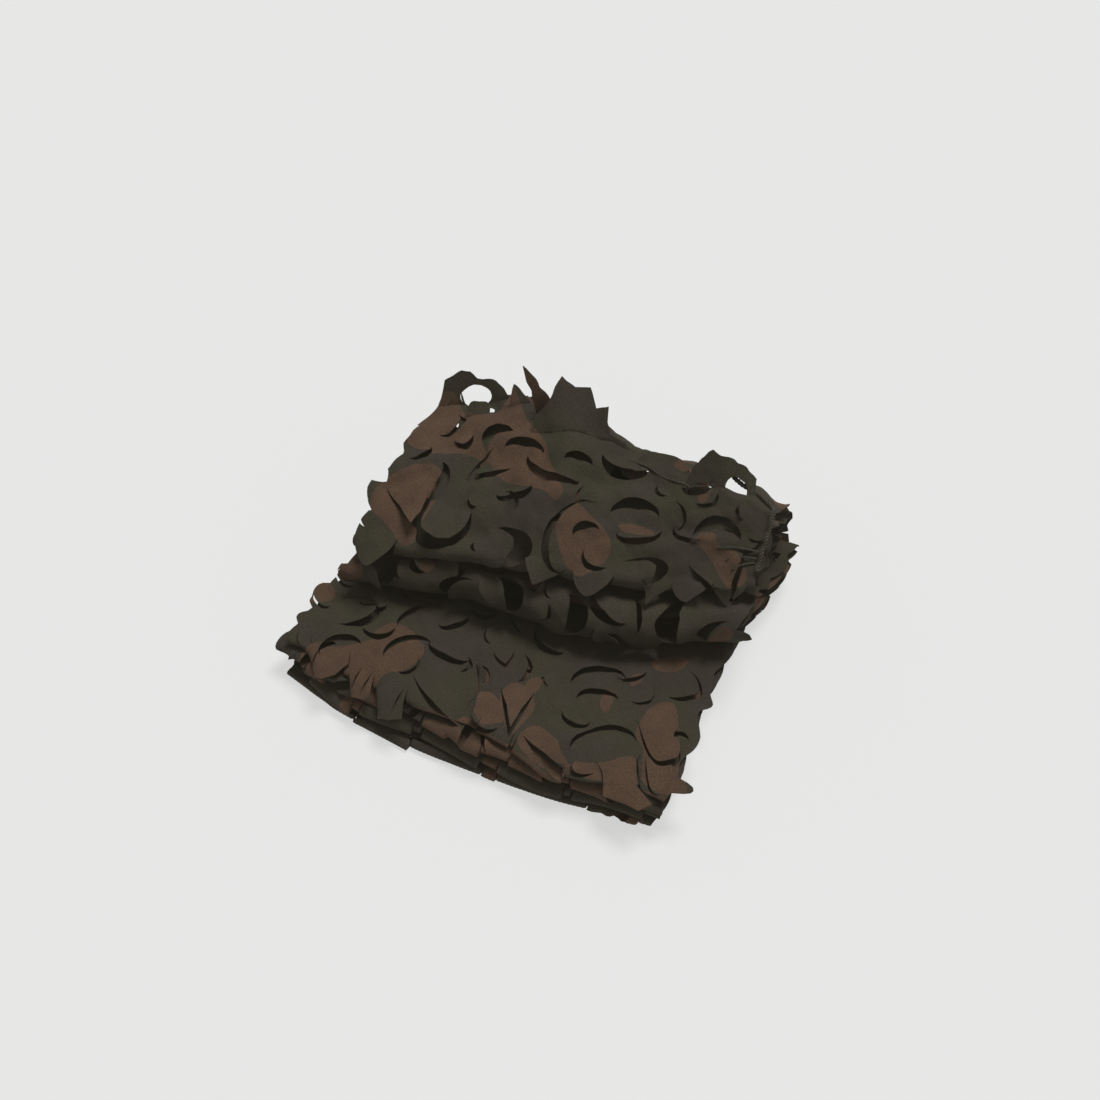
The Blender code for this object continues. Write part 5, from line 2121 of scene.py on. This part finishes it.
BORDER_ROUTE = (
    Lay(Mark.CREST, 0.016, 0.140),
    Lay(Mark.CREST, 0.016, 0.165),
    Lay(Mark.CREST, 0.014, 0.187),
    Lay(Mark.CREST, 0.006, 0.197),
    Lay(Mark.CREST, -0.008, 0.2000),
    Lay(Mark.BROW, 0.140, 0.202),
    Lay(Mark.BROW, 0.110, 0.204),
    Lay(Mark.BROW, 0.070, 0.205),
    Lay(Mark.BROW, 0.030, 0.206),
)
NET_ROUTES = {
    "net_cord_crest": (
        Lay(Mark.CREST, -0.007, 0.040),
        Lay(Mark.CREST, -0.017, 0.075),
        Lay(Mark.CREST, -0.026, 0.112),
    ),
    "net_cord_gather_top": (
        Lay(Mark.BROW, 0.068, 0.162),
        Lay(Mark.BROW, 0.073, 0.182),
        Lay(Mark.BROW, 0.074, 0.202),
    ),
    "net_cord_gather_middle": (
        Lay(Mark.BROW, 0.048, 0.175),
        Lay(Mark.BROW, 0.057, 0.188),
        Lay(Mark.BROW, 0.061, 0.202),
    ),
    "net_cord_gather_low": (
        Lay(Mark.BROW, 0.030, 0.184),
        Lay(Mark.BROW, 0.042, 0.193),
        Lay(Mark.BROW, 0.049, 0.202),
    ),
}


@dataclass
class CordSet:
    """The border rope and the net cords that show."""

    rope_twist: Twist = Twist(radius=0.0027, strands=3, strand_share=0.5, lay=0.011, seat=0.0006)
    net_twist: Twist = Twist(radius=0.0013, strands=2, strand_share=0.54, lay=0.007, seat=0.0003)
    rope: CordFinish = CordFinish("border_rope_fibre", (0.082, 0.077, 0.052, 1.0), (0.026, 0.024, 0.016, 1.0))
    net: CordFinish = CordFinish("net_cord_fibre", (0.090, 0.083, 0.060, 1.0), (0.030, 0.028, 0.020, 1.0))

    def build(self, path: FoldedPath) -> list[bpy.types.Object]:
        """Builds each cord in the place of its node.

        Args:
            path: The folded cloth that the cords lie on.

        Returns:
            The cords' objects.
        """
        rope = LaidCord("twisted_border_rope", "border_rope", BORDER_ROUTE, self.rope_twist)
        cords = [(rope, self.rope.material())]
        finish = self.net.material()
        for node, route in NET_ROUTES.items():
            cords.append((LaidCord("twisted_" + node, node, route, self.net_twist), finish))
        pieces = []
        for cord, material in cords:
            piece = cord.build(path, material)
            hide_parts(cord.node)
            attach(piece, "root")
            pieces.append(piece)
        return pieces


# ---------------------------------------------------------------------------------------------------------
# Studio


@dataclass(frozen=True)
class Studio:
    """The camera, the pale floor and the soft lights."""

    azimuth: float = 26.0
    elevation: float = 46.5
    distance: float = 1.6
    target: tuple[float, float, float] = (-0.0133, 0.035, 0.06)
    lens: float = 50.0
    floor_size: float = 8.0
    world: float = 0.30
    sun: float = 2.42
    sun_spread: float = 24.0
    sun_tilt: Pair = (-22.0, 6.0)
    haze: tuple[float, float, float] = (0.0075, 0.0065, 0.0045)

    def build(self) -> None:
        """Builds the camera, floor, world and lights."""
        self._camera()
        self._floor()
        self._world()
        self._view()
        self._lamp()

    def _camera(self) -> None:
        """Places the camera so that it looks at its target."""
        turn = math.radians(self.azimuth)
        rise = math.radians(self.elevation)
        back = Vector((math.sin(turn) * math.cos(rise), -math.cos(turn) * math.cos(rise), math.sin(rise)))
        camera = put("camera", bpy.data.cameras.new("camera"))
        camera.data.lens = self.lens
        camera.location = Vector(self.target) + back * self.distance
        camera.rotation_mode = "QUATERNION"
        camera.rotation_quaternion = (-back).to_track_quat("-Z", "Y")
        bpy.context.scene.camera = camera

    def _floor(self) -> None:
        """Lays the floor."""
        half = self.floor_size / 2
        mesh = bpy.data.meshes.new("floor")
        corners = [(-half, -half, 0.0), (half, -half, 0.0), (half, half, 0.0), (-half, half, 0.0)]
        mesh.from_pydata(corners, [], [(0, 1, 2, 3)])
        mesh.materials.append(FloorFinish().material())
        floor = put("floor", mesh)
        floor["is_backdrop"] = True

    def _world(self) -> None:
        """Sets the white light that comes from all round."""
        world = bpy.data.worlds.new("soft_room")
        world.use_nodes = True
        background = world.node_tree.nodes["Background"]
        background.inputs["Color"].default_value = (1.0, 1.0, 1.0, 1.0)
        background.inputs["Strength"].default_value = self.world
        bpy.context.scene.world = world

    def _view(self) -> None:
        """Lifts the black level a little, as a slight haze does."""
        view = bpy.context.scene.view_settings
        view.view_transform = "Standard"
        view.use_curve_mapping = True
        view.curve_mapping.black_level = [-lift for lift in self.haze]
        view.curve_mapping.update()

    def _lamp(self) -> None:
        """Hangs the soft light overhead."""
        lamp = bpy.data.lights.new("overhead", "SUN")
        lamp.energy = self.sun
        lamp.angle = math.radians(self.sun_spread)
        tilt = [math.radians(angle) for angle in self.sun_tilt]
        put("overhead", lamp).rotation_euler = (*tilt, 0.0)


def main() -> None:
    """Builds the studio and the net, and reports each piece."""
    logging.basicConfig(level=logging.INFO, format="%(message)s")
    Studio().build()
    path = FoldedPath()
    log.info("folded path: %.3f m", path.us[-1])
    sheet = GarnishSheet(path, GarnishFinish()).build()
    log.info("%s: %d faces", sheet.name, len(sheet.data.polygons))
    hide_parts("garnish_cloth")
    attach(sheet, "root")
    for cord in CordSet().build(path):
        log.info("%s: %d faces", cord.name, len(cord.data.polygons))
    boxes = {"cad": cad_box, "visual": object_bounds()}
    {name: [list(corner) for corner in box] for name, box in boxes.items()}


if __name__ == "__main__":
    main()
